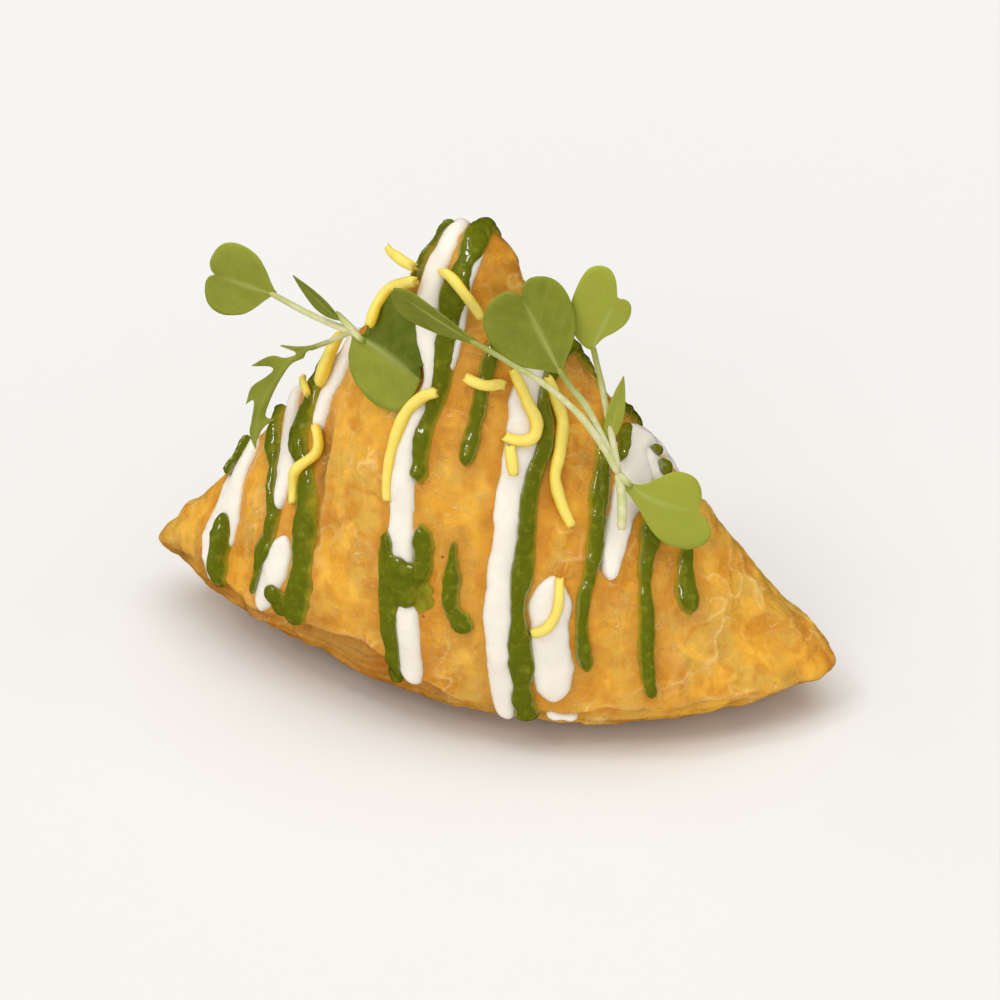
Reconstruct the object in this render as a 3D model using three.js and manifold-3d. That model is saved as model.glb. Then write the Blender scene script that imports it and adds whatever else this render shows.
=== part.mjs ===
// A fried samosa that stands on its base, dressed with yogurt, green chutney, fried noodles and cress.
// Millimetres, +Z up. X runs from corner to corner, -Y points out of the front face, and the base rests
// on Z = 0.

import * as THREE from "three";
import { mergeVertices } from "three/addons/utils/BufferGeometryUtils.js";
import Module from "manifold-3d";

const wasm = await Module();
wasm.setup();

// ---------------------------------------------------------------- driving dimensions: the pastry

const HEIGHT = 66; // table to tip
const CORNER_REACH = 50; // from X = 0 to the right corner
const LEFT_LIFT = 8.6; // how high each corner is above the table
const RIGHT_LIFT = 6.6;
const BELLY = 24; // how far the front face swells out of the ridge plane
const BACK_BELLY = 22;
const BASE_REACH = 25; // half the length of the flat patch that it stands on
const BASE_DEPTH = 12.5; // half the width of that patch
const BELLY_SKEW = 0.19; // the swell is fuller towards the right corner
const RIDGE_PINCH = 1.55; // 1 would make each level an ellipse; more pinches its two ends into ridges

// The two edges of the front view, as [height, distance from X = 0].
const LEFT_EDGE = [
  [0, BASE_REACH - 3], [1.2, 30], [4.4, 43], [LEFT_LIFT, CORNER_REACH + 1.5],
  [20, 42], [45, 21.6], [58, 11.4], [63, 8], [HEIGHT, 5],
];
const RIGHT_EDGE = [
  [0, BASE_REACH + 2], [1.2, 36], [3.2, 44], [RIGHT_LIFT, CORNER_REACH],
  [15.5, 41], [27, 31], [45, 14], [57, 4.6], [63, 2.8], [HEIGHT, -1.5],
];
// The two edges of the side view, as [height, distance from the ridge plane].
const FRONT_EDGE = [
  [0, BASE_DEPTH + 2], [1.5, 18.5], [4, 22], [8, BELLY], [15, BELLY],
  [26, 21.2], [40, 16], [54, 9], [63, 5], [HEIGHT, 2.4],
];
const BACK_EDGE = [
  [0, BASE_DEPTH - 2], [1.5, 15.5], [4, 19.5], [9, BACK_BELLY], [16, 21.6],
  [28, 18.6], [42, 13], [56, 7.4], [64, 4.4], [HEIGHT, 2.2],
];

// The folded sheet on the front: its free edge runs up the left of the face and along the foot.
const SEAM = [[0, -22], [11, -21.9], [17.4, -21], [29.7, -22], [44, -20.4]]; // [height, x]
const SEAM_STEP = 1.2; // thickness of the sheet at that edge
const SEAM_FADE = 8; // how far to the left of it the step dies away
const SEAM_TOP = 42; // above this the edge runs into the ridge
const SEAM_TAPER = 6; // over how much height it does so
const SEAM_LIMIT = 0.97; // the furthest out it runs, as a share of half a section's length
const LIP = [
  [-50, LEFT_LIFT], [-39, 13], [-33, 10.4], [-27, 9.7], [-19, 11.5], [-12, 12.9],
  [-4, 9.2], [3, 5.9], [12, 5.8], [22, 7.4], [35, 7.3], [CORNER_REACH, RIGHT_LIFT],
]; // [x, height] of the foot of the sheet
const BACK_LIP = 8.5;
const LIP_STEP = 0.9;

// ---------------------------------------------------------------- driving dimensions: the toppings

const SEAT = 0.5; // from the skin to a sauce's underside, so that its flat facets clear the round skin
const RIDGE_SEAT = 0.9; // more of the same where a sauce bends over the ridge
const RIDGE_SPREAD = 0.08; // within how much climb of the ridge
const GROOVE = 0.7; // how much wider than a line of chutney its groove through the yogurt is
const GROOVE_DEPTH = 1; // how far that groove reaches past the chutney's top
const YOGURT_DEPTH = 1.2;
const CHUTNEY_DEPTH = 1.5;
const NOODLE_RADIUS = 1.1;
const NOODLE_STEP = 2.4; // between two rings of a strand
const NOODLE_SIDES = 4; // of half its section
const STALK_RADIUS = 0.55;
const STALK_STEP = 7;
const STALK_SIDES = 3;
const BLADE_DEPTH = 0.6; // thickness of a leaf
const CUP = 0.9; // how far a leaf's edges curl up from its midrib

// Lines of sauce as [x, climb, width].
// Climb is 0 at the front's foot, 1 on the ridge and 2 at the back's foot.
const YOGURT = [
  [
    [-35.2, 1.45, 2.4], [-36.6, 1.2, 3], [-37.6, 1, 3.6],
    [-38.8, 0.86, 3.9], [-39.8, 0.69, 3.6], [-41, 0.46, 2.6],
  ],
  [[-26.4, 1.6, 2.6], [-27.6, 1.3, 2.4], [-28.4, 1, 2.6], [-28.6, 0.82, 2.6], [-28.4, 0.66, 2]],
  [[-25.4, 0.52, 2.4], [-27, 0.43, 4], [-28.4, 0.34, 4], [-28.8, 0.27, 3]],
  [
    [-19, 1.5, 3], [-19.6, 1.25, 2.8], [-20.2, 1, 3.4],
    [-20.8, 0.9, 3.2], [-21.9, 0.81, 2.2], [-22.4, 0.74, 1.2],
  ],
  [
    [-7.6, 1.8, 3], [-6, 1.45, 3.6], [-5.6, 1.12, 3.2], [-5.2, 1, 3.4], [-6.4, 0.94, 4],
    [-7.2, 0.84, 4.2], [-6.6, 0.74, 4], [-7.8, 0.64, 4.2], [-8.2, 0.54, 4],
    [-7, 0.43, 4], [-6, 0.32, 4], [-5.1, 0.22, 4], [-4.6, 0.11, 3.4],
  ],
  [
    [10.4, 1.65, 3], [9.4, 1.3, 3.4], [8.6, 1, 4.2], [8, 0.85, 4.2],
    [7.4, 0.68, 4.6], [7.3, 0.5, 5], [7.4, 0.32, 5], [8, 0.15, 4],
  ],
  [[14.6, 0.6, 4.6], [15.4, 0.5, 5.4], [15.8, 0.36, 5.6], [16.1, 0.2, 4.6]],
  [[25.6, 1.5, 2.6], [24, 1.25, 3.4], [22.6, 1, 5], [21.6, 0.88, 4], [21.4, 0.76, 3], [21.4, 0.66, 2]],
];
const CHUTNEY = [
  [
    [-36.4, 1.1, 1.2], [-36.6, 1, 1.4], [-36.2, 0.84, 1.6],
    [-35.6, 0.68, 2.2], [-36.4, 0.54, 2.6], [-37, 0.43, 2.2],
  ],
  [
    [-31, 1.5, 1.8], [-31.8, 1.25, 1.6], [-32.6, 1, 1.8], [-31.4, 0.86, 2.2],
    [-30.8, 0.7, 2.2], [-30.6, 0.54, 2.6], [-31.6, 0.4, 2.6], [-31.2, 0.3, 2.4],
  ],
  [
    [-22.6, 1.7, 2.4], [-23, 1.35, 2.2], [-23.8, 1, 2.6], [-25.2, 0.9, 3], [-24.6, 0.76, 3],
    [-23.2, 0.6, 3], [-22.8, 0.42, 3], [-23.6, 0.28, 3.2], [-24.4, 0.18, 3.6],
  ],
  [
    [-0.6, 1.75, 2.8], [-1.4, 1.4, 2.4], [-1.8, 1.12, 3], [-2, 1, 3.4], [-2.4, 0.94, 4], [-3.2, 0.86, 3.6],
    [-3.3, 0.76, 3], [-4.2, 0.65, 2.8], [-4.8, 0.55, 2.2],
  ],
  [[-9.6, 1.08, 1.6], [-10.2, 1, 2], [-11, 0.94, 1.6], [-11.6, 0.89, 1.2]],
  [[2.8, 0.86, 2], [2.4, 0.76, 2.8], [1.7, 0.68, 2.8], [1.2, 0.6, 2.4]],
  [
    [13.8, 1.55, 2.6], [12.6, 1.25, 2.4], [11.4, 1, 2.4], [10.6, 0.88, 3], [10.2, 0.75, 3.2],
    [10.4, 0.57, 3.4], [10.8, 0.38, 3.6], [11, 0.22, 3.4], [11.2, 0.09, 3],
  ],
  [
    [18.4, 1.7, 2.4], [18, 1.3, 2.2], [17.4, 1, 2.2], [17.8, 0.86, 2.6],
    [18.2, 0.7, 2.6], [18.3, 0.52, 2.5], [19.2, 0.4, 2.6], [20.2, 0.3, 2.6],
  ],
  [
    [24.3, 0.88, 2], [25.2, 0.75, 2.8], [26.2, 0.61, 3],
    [27.2, 0.47, 3], [28.2, 0.34, 3.1], [28.8, 0.26, 2.6],
  ],
  [[29.6, 0.9, 2.2], [30, 0.84, 2.8], [30.8, 0.72, 2.8], [31.6, 0.62, 2.6]],
  [[-9.8, 0.45, 2.2], [-9.8, 0.37, 3], [-9.4, 0.3, 3], [-8.6, 0.22, 3], [-7.8, 0.13, 2.8], [-7.4, 0.06, 2.4]],
  [[-3.8, 0.47, 2.2], [-3.6, 0.4, 2.6], [-3.4, 0.33, 2.4]],
  [[0.4, 0.44, 2.2], [0.8, 0.37, 2.8], [1.9, 0.31, 2.8], [3.6, 0.29, 2.2]],
];
// Fried noodles as [x, climb, height of the strand's middle over the skin].
const NOODLES = [
  [[-13.6, 1, 5], [-12, 1, 4.6], [-9.8, 0.97, 4.4]],
  [[-15.9, 1, 2.8], [-14.8, 1, 2.6], [-12.4, 0.98, 3.4], [-9.6, 0.93, 4.4], [-7.2, 0.9, 4.2]],
  [[-4.4, 0.94, 3.8], [-2.7, 0.92, 3.8], [-1.4, 0.9, 3.7], [0.2, 0.87, 3.6]],
  [[-19.8, 0.98, 4.2], [-20.4, 0.96, 4], [-21.2, 0.94, 3.7], [-22.8, 0.91, 3.5]],
  [[-25.4, 0.98, 3.6], [-25, 0.94, 3.8], [-24.2, 0.89, 3.7]],
  [[-20.8, 0.8, 3.2], [-21.2, 0.75, 3.3], [-22.3, 0.7, 3.4], [-23.8, 0.66, 3.4], [-23.4, 0.61, 3.4]],
  [
    [-8.1, 0.53, 3.2], [-8.8, 0.58, 3.2], [-8.6, 0.63, 3.2],
    [-7.5, 0.67, 3.3], [-5.7, 0.7, 3.4], [-2.9, 0.72, 3.4],
  ],
  [[-0.5, 0.74, 2.8], [1.3, 0.76, 3.4], [3.2, 0.77, 3.4], [4.6, 0.8, 3.2]],
  [[5.4, 0.88, 3.4], [6.6, 0.87, 3.4], [8.1, 0.86, 3.4], [8.8, 0.83, 3.5], [8, 0.79, 3.4], [6, 0.76, 3.3]],
  [
    [9.6, 0.94, 3.5], [11, 0.91, 3.5], [12.2, 0.87, 2.9], [12.1, 0.81, 2.4],
    [12.9, 0.77, 2.2], [14.3, 0.74, 2.4], [15.4, 0.72, 2.8],
  ],
  [[15, 0.59, 3.2], [15.2, 0.53, 3.2], [14.6, 0.46, 3.3], [12.8, 0.41, 3.5]],
  [[6.8, 0.71, 3.2], [7, 0.68, 3.2], [7.4, 0.64, 3.2]],
];

// Each sprig's stalks meet at one joint. A leaf has its foot, the far end of its midrib, and half its width.
const LEFT_JOINT = [-17.9, -6, 51.5];
const RIGHT_JOINT = [20.9, -10.7, 37.6];
const SPRIGS = {
  sprig_left: {
    stalks: [
      [LEFT_JOINT, [-23.5, -4, 51.3], [-30.2, -2, 52.6]],
      [LEFT_JOINT, [-15.6, -8.6, 49.8], [-12.4, -11.2, 48.2]],
      [LEFT_JOINT, [-20.6, -1.8, 51], [-23.4, 0.2, 48.4], [-27, -0.6, 45.2]],
    ],
    hearts: [
      { foot: [-30.2, -2, 52.6], end: [-39.9, -1, 54], side: [-0.9, -1, -5.7] },
      { foot: LEFT_JOINT, end: [-6.8, -13.2, 50.8], side: [-1.2, -2.5, -5.6] },
    ],
    slips: [{ foot: LEFT_JOINT, end: [-26.9, -4, 57.2], side: [0.5, -1, 0.9] }],
    toothed: [{ foot: [-27, -0.6, 45.2], end: [-35, -8.4, 34.4], side: [0.8, 0.3, -0.4] }],
  },
  sprig_right: {
    stalks: [
      [
        [22.1, -14.2, 31.6], [21.5, -11.9, 34.8], RIGHT_JOINT,
        [16.7, -10.7, 44.2], [13.2, -10.8, 49.7], [11.4, -11.5, 52.7],
      ],
      [RIGHT_JOINT, [16.2, -11.4, 43.4], [12.4, -11.6, 48], [8.6, -12, 51.5], [1, -13, 55.4]],
      [RIGHT_JOINT, [19, -9, 41], [18.1, -8, 46], [17.2, -8, 50.3], [15.9, -7.5, 55.1]],
      [RIGHT_JOINT, [23.4, -10.6, 36.2]],
    ],
    hearts: [
      { foot: [11.4, -11.5, 52.7], end: [7.4, -11, 62], side: [5.5, 2, -0.4] },
      { foot: [15.9, -7.5, 55.1], end: [19.1, -7, 62.3], side: [3.6, 1, -1.4] },
      { foot: [23.4, -10.6, 36.2], end: [31.7, -7, 32.9], side: [1.4, -2.5, -4.3] },
    ],
    slips: [
      { foot: [1, -13, 55.4], end: [-10, -12, 61.3], side: [0.7, -1, 1.2] },
      { foot: [19, -9.4, 40.6], end: [20.8, -9, 52], side: [1.2, 0.3, -0.2] },
    ],
    toothed: [],
  },
};
// Half the toothed leaf's width as [place along its midrib, millimetres].
const TEETH = [
  [-0.1, 0.5], [0.08, 0.6], [0.2, 3.2], [0.3, 0.9], [0.44, 3.8],
  [0.54, 1.5], [0.68, 3], [0.78, 1.2], [1, 0.3],
];
const TOOTH_LEAN = 0.03; // how far a tooth leans to the tip, in midribs for each millimetre of its width
// A heart-shaped leaf, in midribs: how far back its margin starts, how far its two lobes stand out, and
// where it is widest. Its foot is a wedge as wide as the start of a sine.
const HEART_SLOPE = 0.42;
const HEART_LOBE = 0.26;
const HEART_WIDEST = 0.8;
const HEART_WEDGE = 0.08;
const HEART_FLARE = 1.2; // more than 1 makes the wedge hollow
// A narrow leaf's half width: at its ends, and how much it swells between them.
const SLIP_END = 0.2;
const SLIP_SWELL = 1.5;
const SLIP_FORWARD = 0.8; // less than 1 puts the widest place nearer the foot
const OVERLAP = 0.04; // how far a leaf runs back into its stalk, in midribs
const HEART_GRID = [5, 7]; // points along and across a leaf
const SLIP_GRID = [5, 3];

// ---------------------------------------------------------------- curves

/** A smooth curve through [position, value] stations that never overshoots them (monotone cubic). */
function profile(stations) {
  const at = stations.map(([p]) => p);
  const value = stations.map(([, v]) => v);
  const slope = at.slice(1).map((p, i) => (value[i + 1] - value[i]) / (p - at[i]));
  const tangent = value.map((_, i) => {
    if (i === 0) return slope[0];
    if (i === slope.length) return slope[i - 1];
    return slope[i - 1] * slope[i] <= 0 ? 0 : (2 * slope[i - 1] * slope[i]) / (slope[i - 1] + slope[i]);
  });
  return (p) => {
    const i = Math.min(Math.max(at.findIndex((edge) => edge >= p) - 1, 0), slope.length - 1);
    const span = at[i + 1] - at[i];
    const t = THREE.MathUtils.clamp((p - at[i]) / span, 0, 1);
    return (
      value[i] * (1 + 2 * t) * (1 - t) ** 2 +
      tangent[i] * span * t * (1 - t) ** 2 +
      value[i + 1] * t * t * (3 - 2 * t) +
      tangent[i + 1] * span * t * t * (t - 1)
    );
  };
}

const leftEdge = profile(LEFT_EDGE);
const rightEdge = profile(RIGHT_EDGE);
const frontEdge = profile(FRONT_EDGE);
const backEdge = profile(BACK_EDGE);
const seamX = profile(SEAM);
const lipHeight = profile(LIP);

// ---------------------------------------------------------------- the pastry's skin

/** The middle and half the length of the section at a height. */
function level(height) {
  const right = rightEdge(height);
  const left = -leftEdge(height);
  return { middle: (right + left) / 2, half: (right - left) / 2 };
}

/** A point of the smooth skin. Turn is 0 on the right ridge, 0.25 in front, 0.5 on the left, 0.75 behind. */
function skin(height, turn) {
  const { middle, half } = level(height);
  const cosine = Math.cos(turn * 2 * Math.PI);
  const sine = Math.sin(turn * 2 * Math.PI);
  const swell = sine > 0 ? -frontEdge(height) : backEdge(height);
  const y = swell * (1 + BELLY_SKEW * cosine) * Math.abs(sine) ** RIDGE_PINCH;
  return new THREE.Vector3(middle + half * cosine, y, height);
}

/** The turn of a point in front of the ridge plane, from its height and x. */
function turnAt(height, x) {
  const { middle, half } = level(height);
  return Math.acos(THREE.MathUtils.clamp((x - middle) / half, -1, 1)) / (2 * Math.PI);
}

const HALVINGS = 30; // of the span in which a height is looked for

/** How high the front view's outline is at an x. */
function ridgeHeight(x) {
  const onLeft = x < level(HEIGHT).middle;
  let low = onLeft ? LEFT_LIFT : RIGHT_LIFT;
  let high = HEIGHT;
  for (let halving = 0; halving < HALVINGS; halving++) {
    const height = (low + high) / 2;
    const inside = onLeft ? -leftEdge(height) < x : rightEdge(height) > x;
    if (inside) low = height;
    else high = height;
  }
  return low;
}

/** The skin over both faces at once: climb is 0 at the front's foot, 1 on the ridge, 2 at the back's foot. */
function face(x, climb) {
  const height = ridgeHeight(x) * (1 - Math.abs(1 - climb));
  const turn = turnAt(height, x);
  return skin(height, climb < 1 ? turn : 1 - turn);
}

const NEAR_X = 0.35; // the skin's normal comes from points this far to each side
const NEAR_CLIMB = 0.02;

/** A point above the skin, along its normal. */
function above(x, climb, lift) {
  const across = face(x + NEAR_X, climb).sub(face(x - NEAR_X, climb));
  const along = face(x, climb + NEAR_CLIMB).sub(face(x, climb - NEAR_CLIMB));
  return face(x, climb).addScaledVector(across.cross(along).normalize(), lift);
}

// ---------------------------------------------------------------- solids

/** A closed mesh through rings of equally many points, with a fan over the first ring and over the last. */
function loft(rings) {
  const count = rings[0].length;
  const points = rings.flat();
  const centre = (ring) => ring.reduce((sum, p) => sum.add(p), new THREE.Vector3()).divideScalar(count);
  const first = points.push(centre(rings[0])) - 1;
  const last = points.push(centre(rings.at(-1))) - 1;
  const lastRing = (rings.length - 1) * count;
  const faces = [];
  for (let i = 0; i < count; i++) {
    const next = (i + 1) % count;
    faces.push(first, next, i, last, lastRing + i, lastRing + next);
    for (let low = 0; low < lastRing; low += count) {
      const high = low + count;
      faces.push(low + i, low + next, high + next, low + i, high + next, high + i);
    }
  }
  const geometry = new THREE.BufferGeometry().setFromPoints(points);
  geometry.setIndex(faces);
  return geometry;
}

/** A geometry as a solid that can be joined and cut. */
function solid(geometry) {
  const bare = geometry.clone();
  bare.deleteAttribute("normal");
  bare.deleteAttribute("uv");
  const { attributes, index } = mergeVertices(bare);
  const vertProperties = Float32Array.from(attributes.position.array);
  const triVerts = Uint32Array.from(index.array);
  return new wasm.Manifold(new wasm.Mesh({ numProp: 3, vertProperties, triVerts }));
}

/** The largest body of a solid, as a geometry. */
function geometryOf(manifold) {
  const bodies = manifold.decompose().sort((a, b) => b.volume() - a.volume());
  const { vertProperties, triVerts } = bodies[0].getMesh();
  const geometry = new THREE.BufferGeometry();
  geometry.setAttribute("position", new THREE.BufferAttribute(vertProperties, 3));
  geometry.setIndex(new THREE.BufferAttribute(triVerts, 1));
  return geometry;
}

// ---------------------------------------------------------------- the pastry

const RIM_RINGS = 3; // between the table and the lip
const FACE_RINGS = 20; // between the lip and the tip
const RIGHT_COLUMNS = 14; // between the right ridge and the seam
const LEFT_COLUMNS = 7; // between the seam and the left ridge
const BACK_COLUMNS = 17;
const STEP_WIDTH = 0.25; // half the breadth over which a step of the relief happens, in mm or mm of height

/** Where the seam is at a height, as a turn. */
function seamTurn(height) {
  const { middle, half } = level(height);
  return turnAt(height, Math.max(seamX(height), middle - SEAM_LIMIT * half));
}

/** The lip's height at a turn. Both lips meet at the corners. */
function lipAt(turn) {
  const cosine = Math.cos(turn * 2 * Math.PI);
  const { middle, half } = level(RIGHT_LIFT);
  if (turn < 0.5) return lipHeight(middle + half * cosine);
  const corner = cosine > 0 ? RIGHT_LIFT : LEFT_LIFT;
  return THREE.MathUtils.lerp(BACK_LIP, corner, cosine ** 4);
}

/** How far the relief is sunk below the smooth skin, under the lip and to the left of the seam. */
function sunk(height, turn) {
  const lip = lipAt(turn);
  const fade = Math.abs(Math.sin(turn * 2 * Math.PI));
  const underLip = height < lip ? LIP_STEP * (height / lip) : 0;
  const seam = seamTurn(height);
  const beside = turn > seam && turn < 0.5 ? skin(height, seam).x - skin(height, turn).x : Infinity;
  const rising = THREE.MathUtils.smoothstep(SEAM_TOP - height, 0, SEAM_TAPER);
  const overlap = rising * Math.exp(-beside / SEAM_FADE);
  return fade * (underLip + SEAM_STEP * overlap);
}

/** The turns of one level's points, from the right ridge round the front, with a pair of them at the seam. */
function turnsAt(height) {
  const seam = seamTurn(height);
  const nudge = STEP_WIDTH / level(height).half / (2 * Math.PI);
  const turns = [];
  for (let i = 0; i < RIGHT_COLUMNS; i++) turns.push((seam * i) / RIGHT_COLUMNS);
  turns.push(seam - nudge, seam + nudge);
  for (let i = 1; i <= LEFT_COLUMNS; i++) turns.push(THREE.MathUtils.lerp(seam, 0.5, i / LEFT_COLUMNS));
  for (let i = 1; i < BACK_COLUMNS; i++) turns.push(THREE.MathUtils.lerp(0.5, 1, i / BACK_COLUMNS));
  return turns;
}

/** The heights of the rings over one turn, from the table to the tip, with a pair of rings at the lip. */
function heightsAt(turn) {
  const lip = lipAt(turn);
  const heights = [];
  for (let i = 0; i < RIM_RINGS; i++) heights.push((lip * i) / RIM_RINGS);
  heights.push(lip - STEP_WIDTH, lip + STEP_WIDTH);
  for (let i = 1; i <= FACE_RINGS; i++) heights.push(THREE.MathUtils.lerp(lip, HEIGHT, i / FACE_RINGS));
  return heights;
}

/** The pastry: one closed solid, with the folded sheet's seam and lip standing out of its front. */
function crust() {
  const ringCount = RIM_RINGS + 2 + FACE_RINGS;
  const rings = [];
  for (let r = 0; r < ringCount; r++) {
    const meanHeight = heightsAt(0.25)[r];
    const ring = turnsAt(meanHeight).map((turn) => {
      const height = heightsAt(turn)[r];
      const point = skin(height, turn);
      point.y += (turn < 0.5 ? 1 : -1) * sunk(height, turn);
      return point;
    });
    rings.push(ring.reverse());
  }
  return loft(rings);
}

// ---------------------------------------------------------------- sauces

const STRETCH_RINGS = 2; // rings for each stretch between two points of a line
const RIDGE_RINGS = 0.4; // where two more rings stand beside the one on the ridge, in steps between rings
// A sauce's section, as [place across from -1 to 1, share of its depth], from left to right.
const DOME = [[-1, 0.3], [-0.5, 1], [0.5, 1], [1, 0.3]];
const BLUNT_END = [[0, 0.5], [0.3, 0.88]]; // [steps from the end, share of the full width]

/** One ring of a sauce: a dome over its width and a flat underside. */
function sauceRing(x, climb, width, direction, depth, sink) {
  const reach = ridgeHeight(x);
  const heading = new THREE.Vector2(direction.x, direction.y * reach).normalize();
  const fromRidge = (climb - 1) / RIDGE_SPREAD;
  const seat = SEAT + RIDGE_SEAT * Math.exp(-(fromRidge ** 2)) - sink;
  const place = (across, lift) => {
    const shift = (across * width) / 2;
    return above(x + shift * heading.y, climb - (shift * heading.x) / reach, lift);
  };
  const top = DOME.map(([across, share]) => place(across, seat + sink + depth * share));
  return [...top, place(1, seat), place(-1, seat)];
}

/** A line of sauce along [x, climb, width] points. Grown, it is its groove through another sauce. */
function sauce(points, depth, grown = false) {
  const margin = grown ? GROOVE : 0;
  const headroom = grown ? GROOVE_DEPTH : 0;
  const sink = grown ? SEAT + RIDGE_SEAT : 0;
  const course = new THREE.CatmullRomCurve3(points.map(([x, climb]) => new THREE.Vector3(x, climb, 0)));
  const breadth = new THREE.CatmullRomCurve3(points.map(([, , width], i) => new THREE.Vector3(i, width, 0)));
  const steps = (points.length - 1) * STRETCH_RINGS;
  const crossing = points.findIndex(([, climb]) => climb === 1) * STRETCH_RINGS;
  const stations = [...BLUNT_END];
  for (let i = 1; i < steps; i++) {
    if (i === crossing) stations.push([i - RIDGE_RINGS, 1], [i, 1], [i + RIDGE_RINGS, 1]);
    else stations.push([i, 1]);
  }
  for (const [step, share] of BLUNT_END.toReversed()) stations.push([steps - step, share]);
  const rings = stations.map(([step, share]) => {
    const t = step / steps;
    const { x, y: climb } = course.getPoint(t);
    const width = breadth.getPoint(t).y * share + margin;
    const ahead = course.getTangent(t);
    return sauceRing(x, climb, width, ahead, depth * Math.sqrt(share) + headroom, sink);
  });
  return loft(rings);
}

// ---------------------------------------------------------------- noodles and sprigs

/** A rod along a smooth curve through points. */
function rod(points, radius, halfSides, stepLength) {
  const path = new THREE.CatmullRomCurve3(points);
  const section = new THREE.Shape();
  section.absarc(0, 0, radius, 0, 2 * Math.PI);
  const steps = Math.ceil(path.getLength() / stepLength);
  const options = { extrudePath: path, steps, curveSegments: halfSides, bevelEnabled: false };
  return new THREE.ExtrudeGeometry(section, options);
}

/** A strand of fried noodle. */
function noodle(points) {
  const course = points.map(([x, climb, lift]) => above(x, climb, lift));
  return rod(course, NOODLE_RADIUS, NOODLE_SIDES, NOODLE_STEP);
}

/** A sprig's stalk. */
function stalk(points) {
  const course = points.map((point) => new THREE.Vector3(...point));
  return rod(course, STALK_RADIUS, STALK_SIDES, STALK_STEP);
}

/** A thin closed sheet through a grid of points, half its thickness to either side along one normal. */
function sheet(grid, normal) {
  const columns = grid[0].length;
  const count = grid.length * columns;
  const shifted = (amount) => grid.flat().map((point) => point.clone().addScaledVector(normal, amount));
  const faces = [];
  for (let corner = 0; corner + columns < count; corner++) {
    if ((corner + 1) % columns === 0) continue;
    const far = corner + columns;
    faces.push(corner, corner + 1, far + 1, corner, far + 1, far);
    faces.push(count + corner, count + far + 1, count + corner + 1);
    faces.push(count + corner, count + far, count + far + 1);
  }
  const rim = []; // the grid's outer points, once round
  for (let i = 0; i < columns; i++) rim.push(i);
  for (let i = 2 * columns - 1; i < count; i += columns) rim.push(i);
  for (let i = count - 2; i >= count - columns; i--) rim.push(i);
  for (let i = count - 2 * columns; i > 0; i -= columns) rim.push(i);
  rim.forEach((here, i) => {
    const next = rim[(i + 1) % rim.length];
    faces.push(next, here, count + here, next, count + here, count + next);
  });
  const geometry = new THREE.BufferGeometry();
  geometry.setFromPoints([...shifted(BLADE_DEPTH / 2), ...shifted(-BLADE_DEPTH / 2)]);
  geometry.setIndex(faces);
  return geometry;
}

/** A leaf. Outline(along, across) says where a point lies, in midribs from the foot and in half widths. */
function blade({ foot, end, side }, [rows, columns], outline) {
  const start = new THREE.Vector3(...foot);
  const midrib = new THREE.Vector3(...end).sub(start);
  const half = new THREE.Vector3(...side);
  const normal = half.clone().cross(midrib).normalize();
  const grid = [];
  for (let r = 0; r < rows; r++) {
    const row = [];
    for (let c = 0; c < columns; c++) {
      const across = (2 * c) / (columns - 1) - 1;
      const [forward, sideways] = outline(r / (rows - 1), across);
      const point = start.clone().addScaledVector(midrib, forward).addScaledVector(half, sideways);
      row.push(point.addScaledVector(normal, CUP * sideways ** 2));
    }
    grid.push(row);
  }
  return sheet(grid, normal);
}

/** A heart-shaped seed leaf, notched at the far end of its midrib, with a wedge at its foot. */
function heart(along, across) {
  const reach = 1 - HEART_SLOPE * across ** 2 + HEART_LOBE * Math.sin(Math.PI * Math.abs(across));
  const opening = Math.min(along / HEART_WIDEST + HEART_WEDGE, 1);
  const breadth = Math.sin((Math.PI / 2) * opening) ** HEART_FLARE;
  return [(along - OVERLAP) * reach, breadth * across];
}

/** A narrow leaf that tapers to both ends. */
function slip(along, across) {
  const half = SLIP_END + SLIP_SWELL * along ** SLIP_FORWARD * (1 - along);
  return [along * (1 + OVERLAP) - OVERLAP, half * across];
}

const toothWidth = profile(TEETH);

/** A long leaf with pointed lobes that lean towards its tip. */
function toothed({ foot, end, side }) {
  const places = TEETH.map(([place]) => place);
  const outline = (along, across) => {
    const place = places[Math.round(along * (places.length - 1))];
    const lean = TOOTH_LEAN * toothWidth(place) * Math.abs(across);
    return [place + lean, toothWidth(place) * across];
  };
  return blade({ foot, end, side }, [places.length, 3], outline);
}

/** A sprig: its stalks and leaves joined into one solid. */
function sprig({ stalks, hearts, slips, toothed: toothedLeaves }) {
  const pieces = [
    ...stalks.map(stalk),
    ...hearts.map((leaf) => blade(leaf, HEART_GRID, heart)),
    ...slips.map((leaf) => blade(leaf, SLIP_GRID, slip)),
    ...toothedLeaves.map(toothed),
  ];
  return geometryOf(pieces.map(solid).reduce((whole, piece) => whole.add(piece)));
}

// ---------------------------------------------------------------- the whole

const samosa = new THREE.Group();

/** Adds one named piece. */
function add(name, geometry, finish) {
  const mesh = new THREE.Mesh(geometry, new THREE.MeshStandardMaterial({ metalness: 0, ...finish }));
  mesh.name = name;
  samosa.add(mesh);
}

add("crust", crust(), { color: 0xd9922f, roughness: 0.55 });

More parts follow.
